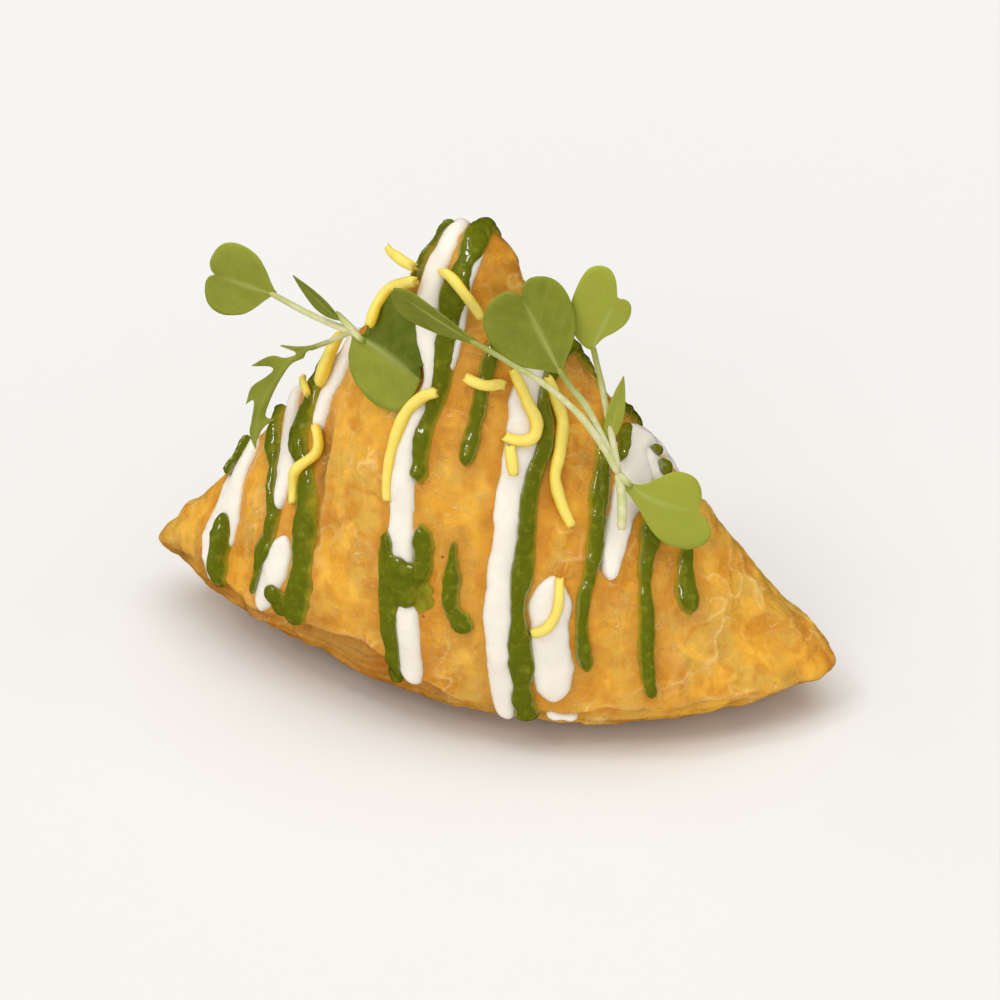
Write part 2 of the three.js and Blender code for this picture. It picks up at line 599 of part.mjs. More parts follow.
const chutneyRoom = CHUTNEY.map((points) => solid(sauce(points, CHUTNEY_DEPTH, true)));
YOGURT.forEach((points, i) => {
  const whole = solid(sauce(points, YOGURT_DEPTH));
  const rest = chutneyRoom.reduce((body, room) => body.subtract(room), whole);
  add(`yogurt_${i + 1}`, geometryOf(rest), { color: 0xf7f4ee, roughness: 0.25 });
});
CHUTNEY.forEach((points, i) => {
  add(`chutney_${i + 1}`, sauce(points, CHUTNEY_DEPTH), { color: 0x3f7d1e, roughness: 0.2 });
});
NOODLES.forEach((points, i) => {
  add(`noodle_${i + 1}`, noodle(points), { color: 0xecd94a, roughness: 0.5 });
});
for (const [name, plan] of Object.entries(SPRIGS)) {
  add(name, sprig(plan), { color: 0x6f9130, roughness: 0.5 });
}

export default samosa;
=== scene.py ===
"""A fried samosa dressed with yogurt, green chutney, fried gram noodles and cress sprigs.

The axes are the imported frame's: X runs from corner to corner, -Y points out of the front face, +Z is up,
and the pastry stands on Z = 0. Shapes are worked out in millimetres and become metres when a piece is
placed. A place on the pastry is given as (x, climb): climb is 0 at the front's foot, 1 on the ridge and 2 at
the foot of the back.
"""

import itertools
import logging
import math
from dataclasses import dataclass, field
from enum import Enum
from typing import Iterable, Sequence, Union

import bmesh
import bpy
import numpy as np
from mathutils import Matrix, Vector
from mathutils.bvhtree import BVHTree

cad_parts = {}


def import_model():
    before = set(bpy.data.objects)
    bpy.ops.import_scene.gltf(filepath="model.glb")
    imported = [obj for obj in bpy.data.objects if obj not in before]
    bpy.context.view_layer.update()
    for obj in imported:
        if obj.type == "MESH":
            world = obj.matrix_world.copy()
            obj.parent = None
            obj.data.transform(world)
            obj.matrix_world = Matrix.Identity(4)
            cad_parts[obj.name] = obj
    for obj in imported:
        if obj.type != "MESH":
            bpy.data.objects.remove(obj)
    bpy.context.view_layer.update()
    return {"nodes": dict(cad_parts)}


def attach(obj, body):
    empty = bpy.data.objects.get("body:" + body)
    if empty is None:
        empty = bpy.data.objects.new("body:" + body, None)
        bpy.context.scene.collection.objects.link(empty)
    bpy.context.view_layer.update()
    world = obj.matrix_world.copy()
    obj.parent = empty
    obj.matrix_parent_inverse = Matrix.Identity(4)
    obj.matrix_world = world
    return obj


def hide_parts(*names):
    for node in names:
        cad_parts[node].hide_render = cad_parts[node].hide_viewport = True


MM = 0.001
BODY = "root"

Colour = tuple[float, float, float]
Point = tuple[float, float, float]
Array = np.ndarray
Piece = bpy.types.Object
Material = bpy.types.Material
Tree = bpy.types.NodeTree
Node = bpy.types.Node
Socket = bpy.types.NodeSocket
Value = Union[Socket, float, Sequence[float]]
Inputs = dict[Union[str, int], Value]
Rows = Sequence[Sequence[float]]


class Slot(Enum):
    """The record's material slots."""

    CRUST = "crust"
    YOGURT = "yogurt"
    CHUTNEY = "chutney"
    NOODLE = "noodle"
    SPRIG = "sprig"


class Mark(Enum):
    """Values that a mesh carries at its vertices for its finish to read."""

    TOAST = "toast"
    PALE = "pale"
    BAND = "band"
    SWELL = "swell"
    DEPTH = "depth"
    RIB = "rib"
    STALK = "stalk"
    TONE = "tone"
    EDGE = "edge"
    STAIN = "stain"
    SPOT = "spot"


# ---------------------------------------------------------------- curves and noise


def smooth_step(values: Array) -> Array:
    """Eases values from 0 to 1, and holds them at 0 below and 1 above."""
    held = np.clip(values, 0.0, 1.0)
    return held * held * (3.0 - 2.0 * held)


def hump(values: Array, breadth: float) -> Array:
    """A bell that is 1 where values are 0 and dies away over the breadth."""
    return np.exp(-((values / breadth) ** 2))


def spline(points: Rows, per_span: int) -> Array:
    """A smooth curve through points.

    Args:
        points: rows of coordinates, and of anything else that varies along the curve.
        per_span: steps between one point and the next.

    Returns:
        The curve's stations as rows like the points.
    """
    rows = np.asarray(points, float)
    padded = np.vstack([2 * rows[0] - rows[1], rows, 2 * rows[-1] - rows[-2]])
    t = np.linspace(0.0, 1.0, per_span, endpoint=False)[:, None]
    spans = [
        0.5
        * (
            2 * start
            + (end - before) * t
            + (2 * before - 5 * start + 4 * end - after) * t**2
            + (3 * start - before - 3 * end + after) * t**3
        )
        for before, start, end, after in zip(padded[:-3], padded[1:-2], padded[2:-1], padded[3:])
    ]
    return np.vstack([*spans, rows[-1:]])


def evenly(path: Array, step: float) -> Array:
    """Stations about a step apart along a path.

    Args:
        path: rows whose first three columns are a place in millimetres.
        step: the distance between stations.

    Returns:
        Rows like the path's.
    """
    lengths = np.linalg.norm(np.diff(path[:, :3], axis=0), axis=1)
    travelled = np.concatenate([[0.0], np.cumsum(lengths)])
    count = max(round(travelled[-1] / step), 3)
    wanted = np.linspace(0.0, travelled[-1], count + 1)
    return np.stack([np.interp(wanted, travelled, column) for column in path.T], axis=1)


def blurred(rows: Array, reach: float) -> Array:
    """Rows averaged with their neighbours along the first axis.

    Args:
        rows: values along a path.
        reach: how many rows away the weight has fallen to about a half.

    Returns:
        Rows of the same shape.
    """
    span = max(int(2 * reach), 1)
    weights = np.exp(-((np.arange(-span, span + 1) / reach) ** 2))
    weights /= weights.sum()
    padded = np.concatenate([np.repeat(rows[:1], span, 0), rows, np.repeat(rows[-1:], span, 0)])
    return sum(w * padded[i : i + len(rows)] for i, w in enumerate(weights))


def unit(rows: Array) -> Array:
    """Rows scaled to length 1."""
    return rows / np.maximum(np.linalg.norm(rows, axis=-1, keepdims=True), 1e-12)


class Noise:
    """Smooth random relief in space, the same on every run."""

    CELLS = 48
    STRENGTH = 1.7

    def __init__(self, seed: int) -> None:
        """Draws the lattice of slopes. The seed says which relief it is."""
        generator = np.random.default_rng(seed)
        self.slopes = unit(generator.normal(size=(self.CELLS, self.CELLS, self.CELLS, 3)))

    def at(self, places: Array, size: float) -> Array:
        """The relief at places.

        Args:
            places: rows of three coordinates in millimetres.
            size: the distance from bump to hollow, in millimetres.

        Returns:
            One value from about -1 to 1 for each place.
        """
        scaled = places / size
        cell = np.floor(scaled).astype(int)
        local = scaled - cell
        fade = local**3 * (local * (local * 6 - 15) + 10)
        total = np.zeros(len(places))
        for corner in itertools.product((0, 1), repeat=3):
            offset = np.array(corner)
            x, y, z = ((cell + offset) % self.CELLS).T
            weight = np.prod(np.where(offset == 1, fade, 1 - fade), axis=1)
            total += weight * np.einsum("ij,ij->i", self.slopes[x, y, z], local - offset)
        return total * self.STRENGTH

    def layers(self, places: Array, size: float, count: int) -> Array:
        """Several sizes of relief added up, each half as large and half as strong as the one before."""
        return sum(self.at(places + 17.3 * i, size / 2**i) / 2**i for i in range(count))

    def creases(self, places: Array, size: float) -> Array:
        """Relief with rounded swells and sharp hollows between them, from 0 in a crease to 1."""
        return np.clip(np.abs(self.at(places, size)) * 2.2, 0.0, 1.0)


@dataclass(frozen=True)
class Bumps:
    """One kind of unevenness.

    Attributes:
        height: how strong it is.
        size: the distance from bump to hollow, in millimetres.
        shift: moves it, so that two kinds of the same size differ.
        layers: how many sizes are added up, each half of the one before.
    """

    height: float
    size: float
    shift: float = 0.0
    layers: int = 1

    def soft(self, noise: Noise, places: Array) -> Array:
        """Rolling bumps and hollows at places."""
        return self.height * noise.layers(places + self.shift, self.size, self.layers)

    def creased(self, noise: Noise, places: Array) -> Array:
        """Rounded swells with sharp creases between them at places."""
        return self.height * noise.creases(places + self.shift, self.size)


# ---------------------------------------------------------------- meshes


@dataclass
class Shape:
    """A surface in millimetres.

    Attributes:
        vertices: one row for each vertex.
        faces: vertex numbers of each face.
        marks: values at the vertices for the finish.
    """

    vertices: Array
    faces: list[list[int]]
    marks: dict[Mark, Array] = field(default_factory=dict)

    @staticmethod
    def joined(shapes: Sequence["Shape"]) -> "Shape":
        """Makes one shape of several.

        Args:
            shapes: the shapes.

        Returns:
            The whole, with all their marks, which are 0 on a shape that lacks them.
        """
        faces: list[list[int]] = []
        start = 0
        for shape in shapes:
            faces += [[corner + start for corner in face] for face in shape.faces]
            start += len(shape.vertices)
        names = sorted({mark for shape in shapes for mark in shape.marks}, key=lambda mark: mark.value)
        marks = {
            name: np.concatenate([shape.marks.get(name, np.zeros(len(shape.vertices))) for shape in shapes])
            for name in names
        }
        return Shape(np.vstack([shape.vertices for shape in shapes]), faces, marks)

    @staticmethod
    def read(mesh: bpy.types.Mesh, scale: float = 1.0) -> "Shape":
        """Reads a Blender mesh.

        Args:
            mesh: the mesh.
            scale: the factor from its units to millimetres.

        Returns:
            The shape, without marks.
        """
        places = np.zeros(len(mesh.vertices) * 3)
        mesh.vertices.foreach_get("co", places)
        return Shape(places.reshape(-1, 3) * scale, [list(face.vertices) for face in mesh.polygons])

    def mesh(self, name: str, scale: float = 1.0) -> bpy.types.Mesh:
        """The shape as a Blender mesh.

        Args:
            name: the mesh's name.
            scale: the factor from millimetres to its units.

        Returns:
            The mesh, with the marks as attributes.
        """
        mesh = bpy.data.meshes.new(name)
        mesh.from_pydata((self.vertices * scale).tolist(), [], self.faces)
        mesh.update()
        for mark, values in self.marks.items():
            attribute = mesh.attributes.new(mark.value, "FLOAT", "POINT")
            attribute.data.foreach_set("value", np.asarray(values, np.float32))
        return mesh

    def tree(self) -> BVHTree:
        """The shape as a tree that rays can be cast at."""
        return BVHTree.FromPolygons(self.vertices.tolist(), self.faces)

    def edges(self) -> Array:
        """The shape's edges. Every face has the same number of corners.

        Returns:
            Pairs of vertex numbers, each edge once.
        """
        corners = np.asarray(self.faces)
        pairs = np.stack([corners, np.roll(corners, -1, axis=1)], axis=2).reshape(-1, 2)
        return np.unique(np.sort(pairs, axis=1), axis=0)

    def normals(self) -> Array:
        """The outward directions. Every face has four corners.

        Returns:
            One row of length 1 for each vertex.
        """
        corners = np.asarray(self.faces)
        a, b, c, d = (self.vertices[corners[:, i]] for i in range(4))
        across = np.cross(c - a, d - b)
        total = np.zeros_like(self.vertices)
        for i in range(4):
            for axis in range(3):
                total[:, axis] += np.bincount(corners[:, i], across[:, axis], len(total))
        return unit(total)

    def averaged(self, values: Array, rounds: int, share: float = 0.5) -> Array:
        """Values at the vertices, mixed with their neighbours'.

        Args:
            values: one row for each vertex.
            rounds: how many times they are mixed.
            share: how much of the neighbours each round takes.

        Returns:
            Rows of the same shape.
        """
        first, second = self.edges().T
        count = len(self.vertices)
        degree = np.bincount(first, minlength=count) + np.bincount(second, minlength=count)
        rows = values.reshape(count, -1).astype(float)
        for _ in range(rounds):
            mixed = np.stack(
                [
                    np.bincount(first, column[second], count) + np.bincount(second, column[first], count)
                    for column in rows.T
                ],
                axis=1,
            )
            rows = rows * (1 - share) + mixed / degree[:, None] * share
        return rows.reshape(values.shape)

    def smoothed(self, rounds: int) -> "Shape":
        """The shape with its small bumps taken off."""
        return Shape(self.averaged(self.vertices, rounds), self.faces, self.marks)

    def remeshed(self, grain: float, subdivisions: int = 0) -> "Shape":
        """The skin round everything that the shape fills, in even four-sided faces.

        Args:
            grain: the length of a face's side.
            subdivisions: how many times the shape is first divided and rounded.

        Returns:
            A new shape without marks.
        """
        mesh = self.mesh("coarse")
        piece = bpy.data.objects.new("coarse", mesh)
        bpy.context.scene.collection.objects.link(piece)
        if subdivisions:
            piece.modifiers.new("rounded", "SUBSURF").levels = subdivisions
        remesh = piece.modifiers.new("even", "REMESH")
        remesh.mode = "VOXEL"
        remesh.voxel_size = grain
        evaluated = piece.evaluated_get(bpy.context.evaluated_depsgraph_get())
        shape = Shape.read(evaluated.to_mesh())
        evaluated.to_mesh_clear()
        bpy.data.objects.remove(piece)
        bpy.data.meshes.remove(mesh)
        return shape


def placed(shape: Shape, name: str, material: Material, stands_for: Sequence[str] = ()) -> Piece:
    """Makes a shape a piece of the samosa.

    Args:
        shape: the piece's surface in millimetres.
        name: the piece's name.
        material: its finish.
        stands_for: the frame's nodes that it replaces.

    Returns:
        The piece, riding on the samosa's body.
    """
    mesh = shape.mesh(name, MM)
    mesh.shade_smooth()
    mesh.materials.append(material)
    piece = bpy.data.objects.new(name, mesh)
    bpy.context.scene.collection.objects.link(piece)
    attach(piece, BODY)
    if stands_for:
        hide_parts(*stands_for)
    logging.info("%s: %d vertices, finish %s", name, len(shape.vertices), material.name)
    return piece


def belt(count: int, around: int) -> list[list[int]]:
    """Four-sided faces between rings of points that follow one another.

    Args:
        count: how many rings there are.
        around: points in a ring.

    Returns:
        The faces, as numbers into the rings' points.
    """
    faces = []
    for i, j in itertools.product(range(count - 1), range(around)):
        low, high, after = i * around, (i + 1) * around, (j + 1) % around
        faces.append([low + j, low + after, high + after, high + j])
    return faces


def fans(count: int, around: int) -> list[list[int]]:
    """Three-sided faces that close the first and last rings.

    Args:
        count: how many rings there are.
        around: points in a ring.

    Returns:
        The faces, which meet at two points that come after the rings' own.
    """
    last, start, end = (count - 1) * around, count * around, count * around + 1
    faces = []
    for j in range(around):
        after = (j + 1) % around
        faces += [[start, after, j], [end, last + j, last + after]]
    return faces


def circle(points: int) -> Array:
    """Angles evenly round a circle, in radians."""
    return np.linspace(0.0, 2 * math.pi, points, endpoint=False)


def tube(places: Array, radii: Array, sides: int, flatness: float) -> Shape:
    """A closed rod along a path.

    Args:
        places: the middle of each ring.
        radii: the radius of each ring.
        sides: points in a ring.
        flatness: how a ring's second radius compares with its first.

    Returns:
        The rod, of four-sided faces with a three-sided fan at each end.
    """
    count = len(places)
    ahead = unit(np.gradient(places, axis=0))
    side = unit(np.cross(ahead[0], (0.31, 0.17, 0.93)))
    around = circle(sides)
    rings = []
    for i in range(count):
        side = unit(side - ahead[i] * (side @ ahead[i]))
        other = np.cross(ahead[i], side)
        ring = np.outer(np.cos(around), side) + flatness * np.outer(np.sin(around), other)
        rings.append(places[i] + radii[i] * ring)
    faces = belt(count, sides) + fans(count, sides)
    return Shape(np.vstack([*rings, places[:1], places[-1:]]), faces)


# ---------------------------------------------------------------- node trees


class Graph:
    """Short ways to add nodes to a node tree and to join them."""

    def __init__(self, tree: Tree) -> None:
        """Takes the tree that nodes are added to."""
        self.tree = tree

    def feed(self, socket: Socket, value: Value) -> None:
        """Links a socket to another, or sets its constant.

        Args:
            socket: the socket.
            value: the other socket, or the constant.
        """
        if isinstance(value, Socket):
            self.tree.links.new(value, socket)
        elif isinstance(value, tuple) and len(value) == 3 and socket.type == "RGBA":
            socket.default_value = (*value, 1.0)
        else:
            socket.default_value = value

    def add(self, kind: str, inputs: Inputs, **settings: object) -> Node:
        """Adds a node.

        Args:
            kind: the node's type.
            inputs: what goes into its sockets, by name or number.
            settings: its other properties.

        Returns:
            The node.
        """
        node = self.tree.nodes.new(kind)
        for name, setting in settings.items():
            setattr(node, name, setting)
        for key, value in inputs.items():
            self.feed(node.inputs[key], value)
        return node

    def math(self, operation: str, *values: Value, clamp: bool = False) -> Socket:
        """The result of a math node."""
        inputs = dict(enumerate(values))
        return self.add("ShaderNodeMath", inputs, operation=operation, use_clamp=clamp).outputs[0]

    def mix(self, share: Value, base: Value, other: Value) -> Socket:
        """A colour between two others."""
        inputs = {0: share, 6: base, 7: other}
        return self.add("ShaderNodeMix", inputs, data_type="RGBA").outputs[2]

    def over(self, colour: Socket, mask: Socket, share: float, other: Colour) -> Socket:
        """A colour with a share of another laid over it where a mask is 1."""
        return self.mix(self.times(mask, share), colour, other)

    def ease(self, value: Value, low: Value, high: Value) -> Socket:
        """A value eased from 0 at low to 1 at high."""
        inputs = {"Value": value, "From Min": low, "From Max": high}
        return self.add("ShaderNodeMapRange", inputs, interpolation_type="SMOOTHSTEP").outputs[0]

    def mark(self, mark: Mark) -> Socket:
        """A value that the mesh carries."""
        return self.add("ShaderNodeAttribute", {}, attribute_name=mark.value).outputs["Fac"]

    def group(self, tree: Tree, **inputs: Value) -> Socket:
        """Adds a node group.

        Args:
            tree: the group.
            inputs: what goes into its sockets, each under its name in lower case.

        Returns:
            What the group puts out.
        """
        node = self.tree.nodes.new("ShaderNodeGroup")
        node.node_tree = tree
        for name, value in inputs.items():
            self.feed(node.inputs[name.capitalize()], value)
        return node.outputs[0]

    def times(self, value: Value, factor: Value) -> Socket:
        """A value scaled by a factor."""
        return self.math("MULTIPLY", value, factor)

    def vary(self, base: float, mask: Socket, span: float) -> Socket:
        """A value that rises from base by span where a mask is 1."""
        return self.math("ADD", self.times(mask, span), base)


class Effects:
    """The effects that several finishes share, each a node group that is built once."""

    def __init__(self) -> None:
        """Builds the groups."""
        self.tone = self._tone()
        self.threads = self._threads()
        self.specks = self._specks()
        self.relief = self._relief()

    @staticmethod
    def _start(name: str, inputs: dict[str, float], output: str) -> tuple[Graph, Node, Node]:
        """Starts a group.

        Args:
            name: the group's name.
            inputs: its named values and what they are if nothing is set.
            output: the name of what it puts out.

        Returns:
            The group's graph, its input node and its output node.
        """
        tree = bpy.data.node_groups.new(name, "ShaderNodeTree")
        for label, value in inputs.items():
            socket = tree.interface.new_socket(label, in_out="INPUT", socket_type="NodeSocketFloat")
            socket.default_value = value
        tree.interface.new_socket(output, in_out="OUTPUT", socket_type="NodeSocketFloat")
        graph = Graph(tree)
        return graph, graph.add("NodeGroupInput", {}), graph.add("NodeGroupOutput", {})

    @staticmethod
    def _lookup(graph: Graph, start: Node, size: str) -> Inputs:
        """Where and how finely a group reads a texture.

        Args:
            graph: the group's graph.
            start: its input node, whose Shift moves the texture so that two uses of the group differ.
            size: the name of the input that is the texture's size in millimetres.

        Returns:
            The texture node's inputs.
        """
        here = graph.add("ShaderNodeTexCoord", {}).outputs["Object"]
        scaled = graph.add("ShaderNodeVectorMath", {0: here, "Scale": 1 / MM}, operation="SCALE").outputs[0]
        moved = graph.add("ShaderNodeVectorMath", {0: scaled, 1: start.outputs["Shift"]}, operation="ADD")
        return {"Vector": moved.outputs[0], "Scale": graph.math("DIVIDE", 1.0, start.outputs[size])}

    def _tone(self) -> Tree:
        """Soft patches of a size in millimetres, from 0 to 1.

        Returns:
            The group.
        """
        values = {"Size": 5.0, "Detail": 3.0, "Low": 0.4, "High": 0.6, "Shift": 0.0, "Warp": 0.4}
        graph, start, end = self._start("Soft patches", values, "Mask")
        inputs = self._lookup(graph, start, "Size")
        inputs |= {"Detail": start.outputs["Detail"], "Distortion": start.outputs["Warp"]}
        noise = graph.add("ShaderNodeTexNoise", inputs).outputs["Fac"]
        graph.feed(end.inputs[0], graph.ease(noise, start.outputs["Low"], start.outputs["High"]))
        return graph.tree

    def _threads(self) -> Tree:
        """Thin winding lines, from 0 beside a line to 1 on it.

        Returns:
            The group.
        """
        values = {"Size": 3.0, "Breadth": 0.03, "Shift": 0.0, "Warp": 1.5}
        graph, start, end = self._start("Winding threads", values, "Mask")
        inputs = self._lookup(graph, start, "Size")
        inputs |= {"Detail": 3.0, "Distortion": start.outputs["Warp"]}
        noise = graph.add("ShaderNodeTexNoise", inputs).outputs["Fac"]
        away = graph.math("ABSOLUTE", graph.math("SUBTRACT", noise, 0.5))
        graph.feed(end.inputs[0], graph.ease(away, start.outputs["Breadth"], 0.0))
        return graph.tree

    def _specks(self) -> Tree:
        """Small round marks scattered over the surface, from 0 to 1.

        Returns:
            The group.
        """
        values = {"Spacing": 3.0, "Radius": 0.2, "Share": 0.4, "Shift": 0.0}
        graph, start, end = self._start("Scattered specks", values, "Mask")
        cells = graph.add("ShaderNodeTexVoronoi", self._lookup(graph, start, "Spacing"))
        away = graph.times(cells.outputs["Distance"], start.outputs["Spacing"])
        chance = graph.add("ShaderNodeSeparateColor", {0: cells.outputs["Color"]})
        radius = graph.times(chance.outputs["Green"], start.outputs["Radius"])
        near = graph.ease(away, radius, graph.times(radius, 0.5))
        kept = graph.math("LESS_THAN", chance.outputs["Red"], start.outputs["Share"])
        graph.feed(end.inputs[0], graph.times(near, kept))
        return graph.tree

    def _relief(self) -> Tree:
        """Fine bumps, as a height in metres.

        Returns:
            The group.
        """
        values = {"Size": 0.8, "Rise": 0.1, "Detail": 4.0, "Shift": 0.0}
        graph, start, end = self._start("Fine relief", values, "Height")
        inputs = self._lookup(graph, start, "Size")
        inputs |= {"Detail": start.outputs["Detail"], "Roughness": 0.6}
        noise = graph.add("ShaderNodeTexNoise", inputs).outputs["Fac"]
        rise = graph.times(start.outputs["Rise"], MM)
        graph.feed(end.inputs[0], graph.times(noise, rise))
        return graph.tree


@dataclass(frozen=True)
class Body:
    """What a finish's shader holds the same all over.

    Attributes:
        scatter: share of light that enters the surface and comes out nearby.
        scatter_colour: how far each colour travels, as shares of scatter_reach.
        scatter_reach: the longest way that light travels inside, in millimetres.
        coat_roughness: roughness of the wet or oily film on top.
        refraction: index of refraction.
        coat_refraction: index of refraction of the film.
    """

    scatter: float = 0.0
    scatter_colour: Colour = (1.0, 0.6, 0.3)
    scatter_reach: float = 1.0
    coat_roughness: float = 0.1
    refraction: float = 1.45
    coat_refraction: float = 1.5

    def shader(self, name: str) -> tuple[Material, Graph, Node]:
        """Starts a material.

        Args:
            name: the material's name.

        Returns:
            The material, its graph, and its Principled shader joined to the output.
        """
        material = bpy.data.materials.new(name)
        material.use_nodes = True
        material.node_tree.nodes.clear()
        graph = Graph(material.node_tree)
        inputs = {
            "Subsurface Weight": self.scatter,
            "Subsurface Radius": self.scatter_colour,
            "Subsurface Scale": self.scatter_reach * MM,
            "Coat Roughness": self.coat_roughness,
            "Coat IOR": self.coat_refraction,
            "IOR": self.refraction,
        }
        shader = graph.add("ShaderNodeBsdfPrincipled", inputs)
        graph.add("ShaderNodeOutputMaterial", {"Surface": shader.outputs[0]})
        return material, graph, shader

    @staticmethod
    def dress(graph: Graph, shader: Node, colour: Value, roughness: Value, height: Socket) -> None:
        """Gives a shader its colour, roughness and relief.

        Args:
            graph: the material's graph.
            shader: the shader.
            colour: its colour.
            roughness: its roughness.
            height: the relief's height in metres.
        """
        bump = graph.add("ShaderNodeBump", {"Height": height, "Distance": 1.0, "Strength": 1.0})
        graph.feed(shader.inputs["Base Color"], colour)
        graph.feed(shader.inputs["Roughness"], roughness)
        graph.feed(shader.inputs["Normal"], bump.outputs[0])


@dataclass(frozen=True)
class CrustFinish:
    """Fried pastry: blotched gold, orange and tan, with pale flake edges, toasted rims and dark specks, and
    with painted shade in hollows, beside the seam, under the lip and at the foot, and painted highlight on
    crowns and rims.

    Attributes:
        gold: most of the crust.
        tan: broad duller patches.
        orange: well fried blotches, painted shade in hollows, and the crust near the sauces.
        yellow: small light blotches.
        toast: where it is browned, and painted shade under the lip and at the foot.
        pale: flake edges, crinkles and the lip and seam rims, partly painted highlight, and the painted
            highlight on crowns.
        band: painted shade in the groove beside the seam.
        speck: dark specks.
        roughness: roughness of its smoothest places.
        body: what is the same all over.
    """

    gold: Colour = (0.785, 0.392, 0.034)
    tan: Colour = (0.680, 0.392, 0.060)
    orange: Colour = (0.620, 0.232, 0.015)
    yellow: Colour = (0.930, 0.500, 0.052)
    toast: Colour = (0.310, 0.085, 0.009)
    pale: Colour = (0.950, 0.670, 0.260)
    band: Colour = (0.280, 0.140, 0.026)
    speck: Colour = (0.110, 0.042, 0.014)
    roughness: float = 0.24
    body: Body = Body(0.30, (1.0, 0.50, 0.18), 1.0, 0.15, 1.45)

    def material(self, effects: Effects) -> Material:
        """The finish as a material.

        Args:
            effects: the shared node groups.

        Returns:
            The material.
        """
        material, graph, shader = self.body.shader("Fried_pastry")
        tone = effects.tone
        broad = graph.group(tone, size=9.0, detail=2.0, low=0.42, high=0.58)
        blotch = graph.group(tone, size=4.6, detail=3.0, low=0.44, high=0.64, shift=31.0, warp=0.7)
        glow = graph.group(tone, size=3.4, detail=3.0, low=0.50, high=0.70, shift=57.0, warp=0.6)
        mottle = graph.group(tone, size=0.9, detail=4.0, low=0.35, high=0.70, shift=83.0, warp=0.4)
        threads = graph.group(effects.threads, size=3.0, breadth=0.020, shift=12.0)
        patches = graph.group(tone, size=6.0, detail=2.0, low=0.46, high=0.60, shift=5.0)
        specks = graph.group(effects.specks, spacing=2.2, radius=0.26, share=0.20, shift=3.0)
        colour = graph.mix(broad, self.gold, self.tan)
        colour = graph.over(colour, blotch, 0.75, self.orange)
        colour = graph.over(colour, glow, 0.72, self.yellow)
        colour = graph.over(colour, mottle, 0.14, self.yellow)
        # Painted shade: the hollows of the relief are darkened towards orange.
        hollow = graph.ease(graph.mark(Mark.SWELL), 0.42, 0.10)
        colour = graph.over(colour, hollow, 0.55, self.orange)
        # Painted highlight: the crowns of the relief are lightened towards pale.
        painted_crown_highlight = graph.ease(graph.mark(Mark.SWELL), 0.62, 0.92)
        colour = graph.over(colour, painted_crown_highlight, 0.22, self.pale)
        # Painted shade in the groove beside the seam.
        colour = graph.over(colour, graph.mark(Mark.BAND), 0.85, self.band)
        # Pale flake lines and rims: paler thin pastry, partly painted highlight.
        lines = graph.times(graph.times(threads, patches), 0.55)
        pale = graph.math("MAXIMUM", lines, graph.mark(Mark.PALE))
        colour = graph.mix(pale, colour, self.pale)
        # Darker orange near the sauces.
        colour = graph.over(colour, graph.mark(Mark.STAIN), 0.50, self.orange)
        # Browning, together with painted shade under the lip and at the foot.
        colour = graph.mix(graph.mark(Mark.TOAST), colour, self.toast)
        dark = graph.math("MAXIMUM", graph.times(specks, 0.80), graph.mark(Mark.SPOT))
        colour = graph.mix(dark, colour, self.speck)
        oily = graph.math("MAXIMUM", graph.times(patches, 0.7), graph.mark(Mark.STAIN))
        graph.feed(shader.inputs["Coat Weight"], graph.times(oily, 0.75))
        fine = graph.group(effects.relief, size=0.5, rise=0.045)
        coarse = graph.group(effects.relief, size=1.8, rise=0.30, detail=5.0, shift=40.0)
        raised = graph.times(lines, 0.12 * MM)
        height = graph.math("ADD", graph.math("ADD", fine, coarse), raised)
        self.body.dress(graph, shader, colour, graph.vary(self.roughness, mottle, 0.22), height)
        return material


@dataclass(frozen=True)
class SauceFinish:
    """A sauce: deep in colour where it lies thick, and another colour where it thins out at its edges.

    Attributes:
        name: the material's name.
        thick: colour in the middle.
        thin: colour at the edges.
        cloud: colour of the soft patches in it.
        clouds: how strongly the patches show.
        reach: depth in millimetres at which it has its full colour.
        roughness: roughness of its surface.
        lump: height of its fine bumps in millimetres.
        coat: how wet it looks.
        body: what is the same all over.
    """

    name: str
    thick: Colour
    thin: Colour
    cloud: Colour
    clouds: float
    reach: float
    roughness: float
    lump: float
    coat: float
    body: Body

    def material(self, effects: Effects) -> Material:
        """The finish as a material.

        Args:
            effects: the shared node groups.

        Returns:
            The material.
        """
        material, graph, shader = self.body.shader(self.name)
        uneven = graph.group(effects.tone, size=1.8, detail=3.0, low=0.30, high=0.70, shift=9.0)
        depth = graph.math("ADD", graph.mark(Mark.DEPTH), graph.times(uneven, 0.25))
        full = graph.ease(depth, 0.12, self.reach + 0.12)
        colour = graph.mix(full, self.thin, self.thick)
        patches = graph.group(effects.tone, size=1.1, detail=4.0, low=0.50, high=0.78, shift=70.0)
        colour = graph.over(colour, patches, self.clouds, self.cloud)
        graph.feed(shader.inputs["Coat Weight"], graph.times(full, self.coat))
        lumps = graph.group(effects.relief, size=1.1, rise=self.lump, detail=4.0, shift=23.0)
        self.body.dress(graph, shader, colour, graph.vary(self.roughness, uneven, 0.08), lumps)
        return material


